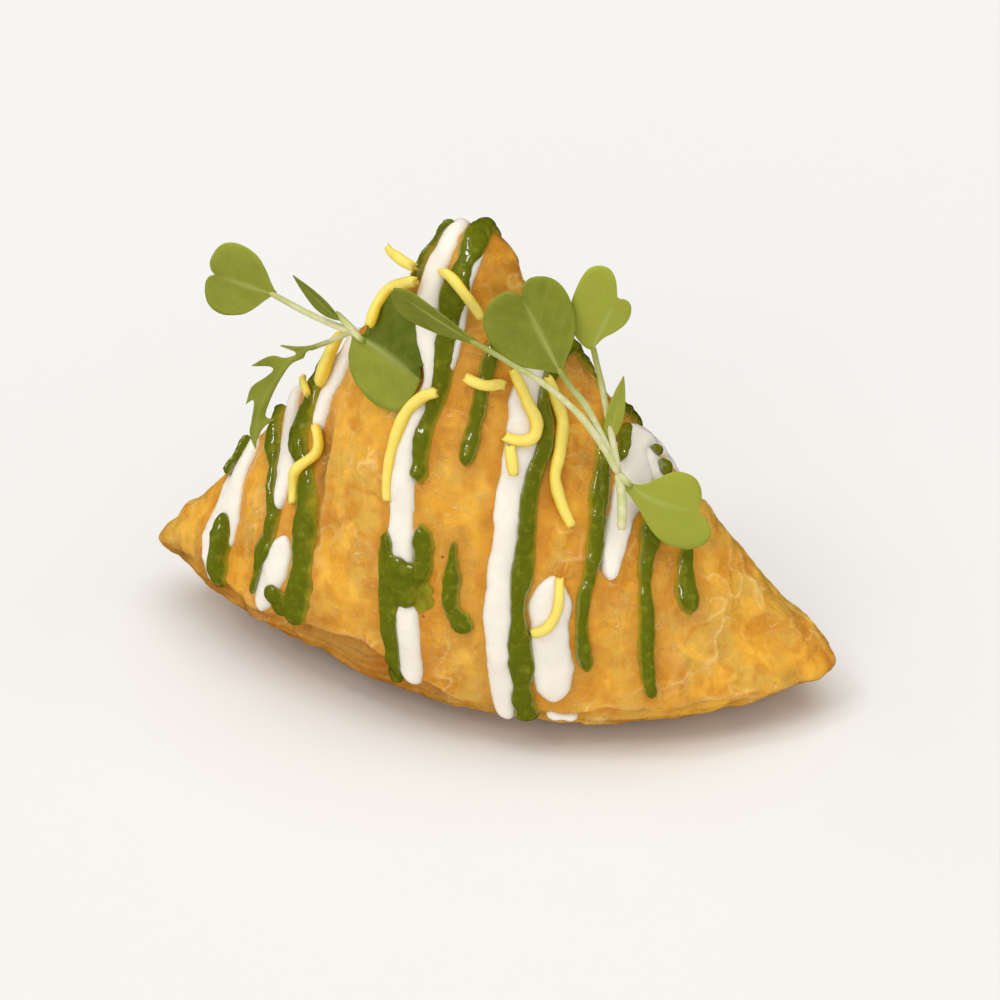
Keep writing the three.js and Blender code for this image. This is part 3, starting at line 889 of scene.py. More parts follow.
@dataclass(frozen=True)
class NoodleFinish:
    """Fried gram noodle: pale yellow on its face and deeper along its sides.

    Attributes:
        face: its upper side.
        side: its sides.
        pale: the fine dust on it.
        roughness: roughness of its smoothest places.
        body: what is the same all over.
    """

    face: Colour = (0.890, 0.730, 0.160)
    side: Colour = (0.830, 0.560, 0.035)
    pale: Colour = (0.930, 0.850, 0.420)
    roughness: float = 0.38
    body: Body = Body(0.35, (1.0, 0.75, 0.15), 0.9, 0.3, 1.45)

    def material(self, effects: Effects) -> Material:
        """The finish as a material.

        Args:
            effects: the shared node groups.

        Returns:
            The material.
        """
        material, graph, shader = self.body.shader("Fried_noodle")
        patches = graph.group(effects.tone, size=1.6, detail=3.0, low=0.35, high=0.70, shift=44.0)
        side = graph.math("ADD", graph.mark(Mark.EDGE), graph.times(patches, 0.2), clamp=True)
        colour = graph.mix(side, self.face, self.side)
        dust = graph.group(effects.specks, spacing=0.9, radius=0.22, share=0.5, shift=15.0)
        colour = graph.over(colour, dust, 0.5, self.pale)
        relief = graph.group(effects.relief, size=0.6, rise=0.09, shift=66.0)
        self.body.dress(graph, shader, colour, graph.vary(self.roughness, patches, 0.15), relief)
        return material


@dataclass(frozen=True)
class SprigFinish:
    """Cress: green blades with paler ribs, on pale stalks.

    Attributes:
        deep: the darkest blades, and painted shade on blades in shadow.
        bright: the lightest blades.
        rib: the blades' ribs.
        stalk: the stalks.
        stalk_pale: paler streaks along them.
        roughness: roughness of its smoothest places.
        body: what is the same all over.
    """

    deep: Colour = (0.080, 0.110, 0.001)
    bright: Colour = (0.355, 0.372, 0.036)
    rib: Colour = (0.450, 0.480, 0.130)
    stalk: Colour = (0.600, 0.620, 0.250)
    stalk_pale: Colour = (0.740, 0.690, 0.430)
    roughness: float = 0.40
    body: Body = Body(0.25, (0.45, 1.0, 0.12), 0.5, 0.2, 1.42)

    def material(self, effects: Effects) -> Material:
        """The finish as a material.

        Args:
            effects: the shared node groups.

        Returns:
            The material.
        """
        material, graph, shader = self.body.shader("Cress")
        patches = graph.group(effects.tone, size=2.6, detail=3.0, low=0.30, high=0.72, shift=52.0)
        tone = graph.math("ADD", graph.mark(Mark.TONE), graph.times(patches, 0.14), clamp=True)
        # The tone mark mixes deep and bright green; its deep end also stands for painted shade.
        colour = graph.mix(tone, self.deep, self.bright)
        colour = graph.mix(graph.mark(Mark.RIB), colour, self.rib)
        streaks = graph.group(effects.tone, size=1.4, detail=2.0, low=0.30, high=0.70, shift=8.0)
        stalk = graph.mix(streaks, self.stalk, self.stalk_pale)
        colour = graph.mix(graph.mark(Mark.STALK), colour, stalk)
        relief = graph.group(effects.relief, size=0.5, rise=0.035, shift=91.0)
        self.body.dress(graph, shader, colour, graph.vary(self.roughness, patches, 0.12), relief)
        return material


@dataclass(frozen=True)
class FloorFinish:
    """Plain pale floor."""

    colour: Colour = (0.790, 0.770, 0.737)
    roughness: float = 0.9

    def material(self, effects: Effects) -> Material:
        """The finish as a material.

        Args:
            effects: the shared node groups.

        Returns:
            The material.
        """
        material, graph, shader = Body().shader("Pale_floor")
        graph.feed(shader.inputs["Specular IOR Level"], 0.0)
        relief = graph.group(effects.relief, size=0.8, rise=0.005)
        Body.dress(graph, shader, self.colour, self.roughness, relief)
        return material


# ---------------------------------------------------------------- the pastry


@dataclass
class Pastry:
    """The folded and fried pastry, worked up from its plain solid.

    Attributes:
        node: the frame's solid.
        grain: side of a face of the fine surface.
        seam: the front sheet's upright edge as [height, x].
        seam_top: height at which that edge runs out.
        lip: the front sheet's foot as [x, height].
        left_part: x to the left of which the front is the lower, wrinkled sheet.
        right_part: x from which it is blistered.
        spots: brown marks as [x, y, z, radius, strength].
        swells, blisters, wrinkles: the unevenness of the dough, the bubbled part and the lower sheet, each
            larger and smaller.
        crease_depth: how far creases lie under the smooth form.
        plain: unevenness of the rest.
        scales: thickness of the flakes that lie on it.
        crinkles: height of thin crinkled ridges.
        crest: unevenness of the crest.
        leaves: depth of the fine layers that show under the lip.
        seam_depth, seam_rise: depth of the groove beside the seam, and height of its rim.
        lip_depth, lip_rise: depth of the groove over the lip, and height of its rim.
        stain_reach: how far from a sauce the crust is darkened.
    """

    node: Piece
    grain: float = 0.34
    seam: Rows = (
        (0, -21.4), (11, -21.2), (17.4, -20.4), (24, -20), (29.7, -20.2), (36, -19.5), (44, -18.9),
    )
    seam_top: float = 42.0
    lip: Rows = (
        (-50, 8.6), (-39, 13), (-33, 10.4), (-27, 9.7), (-19, 11.5), (-12, 12.9),
        (-4, 9.2), (3, 5.9), (12, 5.8), (22, 7.4), (35, 7.3), (50, 6.6),
    )
    left_part: float = -22.0
    right_part: float = 20.0
    spots: Rows = ()
    swells: tuple[Bumps, Bumps] = (Bumps(0.45, 11.0, layers=2), Bumps(0.22, 4.6, layers=2))
    blisters: tuple[Bumps, Bumps] = (Bumps(0.22, 6.0), Bumps(0.09, 2.4, 9.0))
    wrinkles: tuple[Bumps, Bumps] = (Bumps(0.20, 4.2, 31.0), Bumps(0.08, 1.8))
    crease_depth: float = 0.15
    plain: Bumps = Bumps(0.09, 2.6, 77.0, 3)
    scales: float = 0.16
    crinkles: float = 0.13
    crest: Bumps = Bumps(0.34, 4.4, 55.0, 2)
    leaves: float = 0.11
    seam_depth: float = 0.80
    seam_rise: float = 0.34
    lip_depth: float = 0.45
    lip_rise: float = 0.22
    stain_reach: float = 2.6
    core: Shape = field(init=False)
    skin: Shape = field(init=False)

    def __post_init__(self) -> None:
        """Makes the smooth core and the finished skin."""
        self.core = self._core()
        self.skin = self._dressed(self.core)

    def _core(self) -> Shape:
        """The plain solid in even faces, with its facets rounded away.

        Returns:
            The smooth shape.
        """
        form = bmesh.new()
        form.from_mesh(self.node.data)
        bmesh.ops.scale(form, vec=(1 / MM,) * 3, verts=form.verts)
        bmesh.ops.remove_doubles(form, verts=form.verts, dist=0.01)
        anything = {"angle_face_threshold": math.pi, "angle_shape_threshold": math.pi}
        bmesh.ops.join_triangles(form, faces=form.faces, **anything)
        mesh = bpy.data.meshes.new("core")
        form.to_mesh(mesh)
        form.free()
        coarse = Shape.read(mesh)
        bpy.data.meshes.remove(mesh)
        return coarse.remeshed(self.grain, subdivisions=2).smoothed(4)

    def _edges(self, places: Array) -> tuple[Array, Array, Array]:
        """Where places lie by the front sheet's edges.

        Args:
            places: points of the surface.

        Returns:
            How far each is to the right of the seam, how far above the lip, and how much it is in front.
        """
        wander = Noise(5)
        x, y, z = places.T
        heights, seam_x = np.transpose(self.seam)
        lip_x, lip_z = np.transpose(self.lip)
        beside = x - np.interp(z, heights, seam_x) + 0.7 * wander.layers(places, 5.0, 3)
        above = z - np.interp(x, lip_x, lip_z) + 0.8 * wander.layers(places + 40, 6.0, 3)
        return beside, above, smooth_step(-y / 3.0)

    def _dressed(self, core: Shape) -> Shape:
        """The core with its folds, blisters, wrinkles and flaky rims.

        Args:
            core: the smooth shape.

        Returns:
            The finished skin with its marks.
        """
        places = core.vertices
        _, y, z = places.T
        beside, above, front = self._edges(places)
        on_seam = front * smooth_step((self.seam_top - z) / 8.0) * smooth_step(above / 2.0)
        on_lip = front * smooth_step((48.0 - np.abs(places[:, 0])) / 6.0)
        crest = hump(y, 2.2) * smooth_step((z - 6.0) / 4.0)
        broad, middling = Noise(11), Noise(12)
        large, little = self.swells
        swell = large.soft(broad, places) + little.soft(middling, places)
        texture, crinkle = self._texture(places)
        laminated = smooth_step(-above / 1.2) * front
        leaves = self.leaves * np.sin(z * 4.2 + 3.0 * middling.at(places, 7.0)) * laminated
        by_seam, by_lip = hump(beside + 0.8, 0.9), hump(above + 0.8, 0.7)
        groove = -self.seam_depth * on_seam * by_seam - self.lip_depth * on_lip * by_lip
        by_seam, by_lip = hump(beside - 0.5, 0.7), hump(above - 0.5, 0.6)
        rim = self.seam_rise * on_seam * by_seam + self.lip_rise * on_lip * by_lip
        settled = smooth_step((z - 0.6) / 3.0)
        ridge = crest * self.crest.soft(broad, places)
        relief = (swell + texture + ridge) * settled + leaves + groove + rim
        skin = places + core.normals() * relief[:, None]
        skin[:, 2] = np.maximum(skin[:, 2], 0.0)

        worn = broad.at(places + 200, 5.0)
        # Pale lip and seam rims: paler thin pastry, partly painted highlight.
        pale = 0.55 * on_lip * hump(above - 0.1, 0.45) * smooth_step(worn + 0.6)
        pale = np.maximum(pale, 0.35 * on_seam * hump(beside - 0.2, 0.4))
        marks = {
            Mark.TOAST: self._toast(places, above, front, crest, worn),
            Mark.PALE: np.maximum(pale, 0.50 * crinkle),
            # Painted shade in the groove beside the seam.
            Mark.BAND: on_seam * hump(beside + 1.2, 1.5),
            Mark.SWELL: np.clip(0.5 + texture + 0.5 * swell, 0.0, 1.0),
            Mark.SPOT: self._spotted(places),
        }
        return Shape(skin, core.faces, marks)

    def _texture(self, places: Array) -> tuple[Array, Array]:
        """The unevenness that differs from one part of the pastry to another.

        Args:
            places: points of the surface.

        Returns:
            Its height at each, and how much each lies on a thin crinkle.
        """
        x = places[:, 0]
        broad, middling, small = Noise(11), Noise(12), Noise(13)
        wrinkled = smooth_step((self.left_part + 2.0 - x) / 4.0)
        blistered = smooth_step((x - self.right_part) / 8.0)
        rest = np.clip(1.0 - wrinkled - blistered, 0.0, 1.0)
        upright = places * np.array([1.0, 1.0, 0.42])
        large, little = self.blisters
        bubbles = large.creased(small, places) + little.creased(small, places) - self.crease_depth
        large, little = self.wrinkles
        wrinkles = large.creased(small, upright) + little.creased(middling, upright) - self.crease_depth
        plain = self.plain.soft(small, places)
        flaky = smooth_step(broad.at(places + 130, 8.0) * 2.0 + 0.35)
        crinkle = hump(middling.layers(places + 160, 5.0, 2), 0.055) * flaky
        scales = self.scales * smooth_step(small.layers(places + 190, 3.8, 3) * 9.0 + 0.5) * flaky
        texture = blistered * bubbles + wrinkled * wrinkles + rest * (plain + 0.35 * bubbles)
        return texture + scales + self.crinkles * crinkle, crinkle

    @staticmethod
    def _toast(places: Array, above: Array, front: Array, crest: Array, worn: Array) -> Array:
        """How brown the crust is under the lip, at the foot, on the crest, at a corner and in patches; under
        the lip and at the foot this is also painted shade.

        Args:
            places: points of the surface.
            above: how far each lies above the lip.
            front: how much each is in front.
            crest: how much each lies on the crest.
            worn: broad unevenness.

        Returns:
            One value from 0 to 0.8 for each.
        """
        x, _, z = places.T
        # Painted shade under the lip and at the foot, on top of real browning.
        under = smooth_step((2.0 - above) / 3.5) * front * smooth_step((4.0 - x) / 30.0 + 0.55)
        toast = 0.50 * under * smooth_step(-above / 1.5 + 0.5)
        toast = np.maximum(toast, 0.40 * smooth_step((3.0 - z) / 3.0))
        toast = np.maximum(toast, 0.20 * crest * smooth_step(worn + 0.5))
        toast = np.maximum(toast, 0.15 * hump(x + 50.0, 2.0))
        return np.clip(toast + 0.25 * smooth_step(worn * 2.2 - 0.6), 0.0, 0.8)

    def _spotted(self, places: Array) -> Array:
        """How dark the brown marks make the crust.

        Args:
            places: points of the surface.

        Returns:
            One value from 0 to 1 for each.
        """
        small = Noise(13)
        dark = np.zeros(len(places))
        for *middle, radius, strength in self.spots:
            away = np.linalg.norm(places - middle, axis=1) + 0.5 * radius * small.at(places, 0.9)
            dark = np.maximum(dark, strength * smooth_step(1.6 - away / radius))
        return dark

    def stain(self, sauces: BVHTree) -> None:
        """Marks the crust near the sauces, which is darkened towards orange and made glossier.

        Args:
            sauces: the sauces' surfaces.
        """
        found = [sauces.find_nearest(Vector(place), self.stain_reach)[3] for place in self.skin.vertices]
        away = np.array([self.stain_reach if distance is None else distance for distance in found])
        uneven = 0.35 * Noise(19).at(self.skin.vertices, 2.2)
        self.skin.marks[Mark.STAIN] = smooth_step(1.15 - away / self.stain_reach + uneven)

    def build(self, material: Material) -> Piece:
        """Places the pastry in its finish."""
        return placed(self.skin, "pastry", material, [self.node.name])


CRUST_SPOTS = (
    (-11.6, -16.9, 34.9, 0.75, 0.45),
    (-10.9, -16.9, 34.2, 0.4, 0.5),
    (35.4, -13.6, 20.0, 0.35, 0.85),
    (16.9, -19.6, 25.8, 0.25, 0.8),
    (48.2, -5.8, 10.9, 0.25, 0.8),
    (-44.7, -6.6, 16.0, 0.9, 0.35),
    (-1.0, -21.9, 16.4, 0.5, 0.5),
)


class Ground:
    """The pastry's surface as a place to lay toppings on, by (x, climb), and what already lies there.

    In millimetres, REACH is how far away rays start, CREST how near the ridge a place is found from above, and
    PROBE how high over a place they start to measure what lies there.
    """

    REACH = 60.0
    CREST = 0.35
    PROBE = 7.0

    def __init__(self, pastry: Pastry) -> None:
        """Reads the outline of the pastry's ridge.

        Args:
            pastry: the pastry to lay things on.
        """
        self.shape = pastry.core
        self.core = pastry.core.tree()
        self.bare = pastry.skin.tree()
        self.laid = self.bare
        self.layers = [pastry.skin]
        self.directions = pastry.core.averaged(pastry.core.normals(), 12)
        x, _, z = pastry.core.vertices.T
        bins = np.round(x).astype(int)
        self.columns = np.arange(bins.min() + 1, bins.max())
        self.tops = np.array([z[bins == column].max() for column in self.columns])

    def cover(self, shapes: Sequence[Shape]) -> None:
        """Adds shapes to what lies on the pastry."""
        self.layers += shapes
        self.laid = Shape.joined(self.layers).tree()

    def sauces(self) -> BVHTree:
        """What was laid on the pastry, as a tree."""
        return Shape.joined(self.layers[1:]).tree()

    def place(self, x: float, climb: float) -> tuple[Array, Array]:
        """A point of the smooth pastry.

        Args:
            x: its x.
            climb: how far up the front, or over the ridge and down the back, it lies.

        Returns:
            The point and the outward direction there.
        """
        top = float(np.interp(x, self.columns, self.tops))
        height = top * (1.0 - abs(1.0 - climb))
        if top - height < self.CREST:
            start, heading = Vector((x, 0.0, self.REACH * 2)), Vector((0.0, 0.0, -1.0))
        else:
            facing = -1.0 if climb < 1.0 else 1.0
            start, heading = Vector((x, facing * self.REACH, height)), Vector((0.0, -facing, 0.0))
        hit, _, face, _ = self.core.ray_cast(start, heading)
        if hit is None:
            hit, _, face, _ = self.core.find_nearest(Vector((x, 0.0, height)))
        return np.array(hit), unit(self.directions[self.shape.faces[face]].mean(axis=0))

    def track(self, points: Iterable[Sequence[float]], step: float) -> tuple[Array, ...]:
        """A route over the pastry.

        Args:
            points: rows of x, climb and other values that vary along the route.
            step: distance between its stations.

        Returns:
            Places, outward directions, headings and the other values, a row for each station.
        """
        curve = spline(list(points), 20)
        found = [self.place(*station[:2]) for station in curve]
        rows = np.hstack([np.array([p for p, _ in found]), np.array([n for _, n in found]), curve[:, 2:]])
        rows = evenly(rows, step)
        rows[:, :6] = np.vstack([rows[:1, :6], blurred(rows[:, :6], 2.0)[1:-1], rows[-1:, :6]])
        places, outward = rows[:, :3], unit(rows[:, 3:6])
        return places, outward, unit(np.gradient(places, axis=0)), rows[:, 6:]

    def heights(self, tree: BVHTree, places: Array, outward: Array) -> Array:
        """How high a surface stands over places.

        Args:
            tree: the surface.
            places: rows of points on the smooth pastry.
            outward: the direction in which height is measured at each.

        Returns:
            One height for each place, 0 where there is nothing.
        """
        found = np.zeros(len(places))
        for i, (place, normal) in enumerate(zip(places, outward)):
            start = Vector(place + normal * self.PROBE)
            hit = tree.ray_cast(start, Vector(-normal), 2 * self.PROBE)[0]
            if hit is not None:
                found[i] = self.PROBE - (hit - start).length
        return found


# ---------------------------------------------------------------- sauces


@dataclass
class Sauce:
    """A sauce that was squeezed over the pastry in lines.

    Attributes:
        ground: what it lies on.
        kind: the start of its node and piece names.
        slot: its slot in the record; not used.
        lines: each line as [x, climb, width] points.
        depth: how thick it lies.
        seed: which random unevenness it has.
        solids: how many of the lines, from the first, the frame has as nodes.
        drops: for some lines, further round blobs as [x, climb, radius, height].
        lumps: height of its small lumps.
        uneven: how strongly its breadth varies.
        step: distance between a line's sections.
        columns: points across a section.
        grain: side of a face of the finished surface.

    A line's top is flatter the higher DOME_SIDE is, and its sides steeper the lower DOME_FALL is. SINK is how
    deep it goes into the crust, LEAST_RADIUS the least rounding of its ends, and END_BEAD how much thicker it
    ends. DROP_RINGS and DROP_SIDES divide a blob.
    """

    DOME_SIDE = 2.4
    DOME_FALL = 0.55
    SINK = 0.6
    LEAST_RADIUS = 0.4
    END_BEAD = 0.30
    DROP_RINGS = 9
    DROP_SIDES = 16

    ground: Ground
    kind: str
    slot: Slot
    lines: Sequence[Rows]
    depth: float
    seed: int
    solids: int
    drops: dict[int, Rows] = field(default_factory=dict)
    lumps: float = 0.1
    uneven: float = 0.2
    step: float = 0.6
    columns: int = 13
    grain: float = 0.26

    def _line(self, number: int, points: Rows) -> Shape:
        """One line of sauce as a closed ribbon that is domed above and sunk into the crust below.

        Args:
            number: the line's number.
            points: its [x, climb, width] points.

        Returns:
            The ribbon.
        """
        places, outward, ahead, rest = self.ground.track(points, self.step)
        halves, thickness = self._breadths(places + 100.0 * number, rest[:, 0])
        across = np.linspace(-1.0, 1.0, self.columns)
        dome = (1.0 - np.abs(across) ** self.DOME_SIDE) ** self.DOME_FALL
        sides = unit(np.cross(ahead, outward))
        spread = places[:, None] + sides[:, None] * across[None, :, None] * halves[:, None, None]
        normals = np.repeat(outward[:, None], self.columns, axis=1)
        flat, upward = spread.reshape(-1, 3), normals.reshape(-1, 3)
        shape = spread.shape[:2]
        laid = self.ground.heights(self.ground.laid, flat, upward).reshape(shape)
        bare = self.ground.heights(self.ground.bare, flat, upward).reshape(shape)
        laid = np.maximum(blurred(blurred(laid.T, 2.0).T, 1.5), bare)
        top = spread + normals * (laid + thickness[:, None] * dome)[:, :, None]
        bottom = spread + normals * (bare - self.SINK)[:, :, None]
        return self._closed(np.concatenate([top, bottom[:, ::-1]], axis=1))

    def _breadths(self, places: Array, widths: Array) -> tuple[Array, Array]:
        """How broad and thick a line is at its stations.

        Args:
            places: where its unevenness is looked up, a row for each station.
            widths: how wide it would be without.

        Returns:
            Half of its breadth, and its thickness.
        """
        noise = Noise(self.seed)
        widths = widths * (1.0 + self.uneven * (noise.at(places, 3.4) + 0.5 * noise.at(places, 1.3)))
        travelled = np.arange(len(places)) * self.step
        to_end = np.minimum(travelled, travelled[-1] - travelled)
        radius = np.maximum(widths / 2, self.LEAST_RADIUS)
        taper = np.sqrt(1.0 - np.clip(1.0 - to_end / radius, 0.0, 0.96) ** 2)
        bead = self.END_BEAD * hump(travelled[-1] - travelled - radius, 1.6)
        thickness = self.depth * (1.0 + 0.22 * noise.at(places + 50, 4.0) + bead) * np.sqrt(taper)
        return widths / 2 * taper, thickness

    def _closed(self, rings: Array) -> Shape:
        """A solid through rings whose second half runs back under the first.

        Args:
            rings: the rings' points.

        Returns:
            The solid, of four-sided faces.
        """
        count, around = rings.shape[:2]
        faces = belt(count, around)
        last = (count - 1) * around
        for j in range(self.columns - 1):
            below = around - 1 - j
            faces.append([j, below, below - 1, j + 1])
            faces.append([last + j, last + j + 1, last + below - 1, last + below])
        return Shape(rings.reshape(-1, 3), faces)

    def _drop(self, x: float, climb: float, radius: float, height: float) -> Shape:
        """A round blob.

        Args:
            x: where it is.
            climb: where it is.
            radius: its radius on the surface.
            height: how high it stands over what it lies on.

        Returns:
            A flattened ball.
        """
        place, normal = self.ground.place(x, climb)
        side = unit(np.cross((0.0, 0.0, 1.0), normal))
        rise = self.ground.heights(self.ground.laid, place[None], normal[None])[0]
        turns, around = np.linspace(0.0, math.pi, self.DROP_RINGS), circle(self.DROP_SIDES)
        places = place + normal * rise + np.outer(-np.cos(turns) * radius, side)
        ring = np.outer(np.cos(around) * radius, np.cross(normal, side))
        ring += np.outer(np.sin(around) * height, normal)
        rings = [centre + math.sin(turn) * ring for centre, turn in zip(places, turns)]
        return Shape(np.vstack(rings), belt(self.DROP_RINGS, self.DROP_SIDES))

    def shapes(self) -> list[Shape]:
        """Every line's finished surface.

        Returns:
            The lines in order, with their depth marked.
        """
        noise = Noise(self.seed + 1)
        finished = []
        for number, points in enumerate(self.lines):
            parts = [self._line(number, points)]
            parts += [self._drop(*drop) for drop in self.drops.get(number, ())]
            even = Shape.joined(parts).remeshed(self.grain).smoothed(3)
            lumps = self.lumps * (noise.layers(even.vertices, 1.7, 2) + noise.at(even.vertices + 30, 3.5))
            moved = even.vertices + even.normals() * lumps[:, None]
            depth = [self.ground.bare.find_nearest(Vector(place))[3] for place in moved]
            finished.append(Shape(moved, even.faces, {Mark.DEPTH: np.array(depth)}))
        return finished

    def build(self, material: Material) -> list[Piece]:
        """Places every line.

        Args:
            material: the sauce's finish.

        Returns:
            The pieces.
        """
        shapes = self.shapes()
        self.ground.cover(shapes)
        nodes = [[f"{self.kind}_{i + 1}"] if i < self.solids else [] for i in range(len(shapes))]
        return [
            placed(shape, f"{self.kind}_line_{i + 1}", material, node)
            for i, (shape, node) in enumerate(zip(shapes, nodes))
        ]


YOGURT_LINES = (
    (
        (-35.2, 1.45, 2.4), (-36, 1.2, 3), (-35.4, 1.02, 3), (-35.8, 0.94, 3.2), (-36.6, 0.9, 4.6),
        (-37.3, 0.86, 5.6), (-37.5, 0.78, 6.4), (-38.1, 0.67, 6.8), (-38.1, 0.56, 5.2), (-37.6, 0.46, 3.4),
        (-37.2, 0.4, 2),
    ),
    (
        (-26.4, 1.6, 2.6), (-27.6, 1.3, 2.4), (-28.2, 1, 2.6), (-28.2, 0.92, 2.8), (-28.2, 0.87, 3),
        (-27.4, 0.77, 3.8), (-27.3, 0.69, 2.8), (-27.1, 0.63, 1.5),
    ),
    (
        (-25.4, 0.54, 2.6), (-25.8, 0.5, 3.8), (-26.7, 0.45, 5), (-27.6, 0.39, 4.6), (-28.4, 0.33, 3),
        (-28.4, 0.29, 1.6),
    ),
    (
        (-19, 1.5, 3), (-19.4, 1.25, 2.8), (-19.7, 1, 2.6), (-20, 0.97, 2.9), (-20.9, 0.94, 4.2),
        (-21.6, 0.9, 3), (-22.1, 0.86, 2.9), (-22, 0.8, 1.8),
    ),
    (
        (-7.6, 1.8, 3), (-6, 1.45, 3.6), (-5.6, 1.12, 3.2), (-5.2, 1, 3.4), (-6.4, 0.94, 4.2),
        (-6.8, 0.86, 4.2), (-5.4, 0.79, 4), (-4.6, 0.74, 3.4), (-5.7, 0.69, 3), (-7, 0.66, 2.8),
        (-7.3, 0.61, 3.4), (-7.3, 0.53, 4.2), (-6.9, 0.45, 4.2), (-6.2, 0.38, 3.8), (-5.2, 0.3, 3.4),
        (-4.5, 0.22, 3.6), (-4.2, 0.12, 3.4),
    ),
    (
        (10.4, 1.65, 3), (9.4, 1.3, 3.4), (8, 1, 4), (7.3, 0.87, 4.5), (7.9, 0.82, 5), (7.9, 0.75, 4.8),
        (7.6, 0.69, 4.2), (7.8, 0.6, 4.2), (7.9, 0.5, 4.4), (7.8, 0.43, 4.4), (8.2, 0.35, 4.2),
        (8.6, 0.27, 4), (8.9, 0.17, 3.6), (9.2, 0.1, 2.6),
    ),
    (
        (14.2, 0.575, 3), (14.2, 0.53, 4.7), (14.3, 0.48, 5.6), (14.6, 0.41, 5.7), (15.2, 0.32, 5.7),
        (15.5, 0.25, 5), (15.5, 0.2, 3.6),
    ),
    (
        (25.6, 1.5, 2.6), (23, 1.25, 3.4), (20.6, 1, 5), (20.4, 0.97, 6), (21, 0.95, 6.2),
        (21.6, 0.93, 5.6), (21.2, 0.88, 5), (21, 0.82, 3.8), (21, 0.76, 3.7), (20.9, 0.7, 2.9),
        (21, 0.65, 1.9),
    ),
    (
        (-0.8, 0.985, 1.2), (-0.9, 0.96, 1.4), (-1.5, 0.93, 1.4), (-1.6, 0.89, 1.2), (-1.7, 0.84, 1.1),
        (-2, 0.8, 1.2), (-2.2, 0.76, 1),
    ),
    ((21.6, 0.99, 3), (23, 0.982, 4), (24.2, 0.972, 3.8), (25.4, 0.965, 2.6)),
    ((14.4, 0.15, 0.8), (15.6, 0.152, 1.1), (16.8, 0.146, 0.8), (18.2, 0.15, 1), (18.8, 0.148, 0.6)),
)
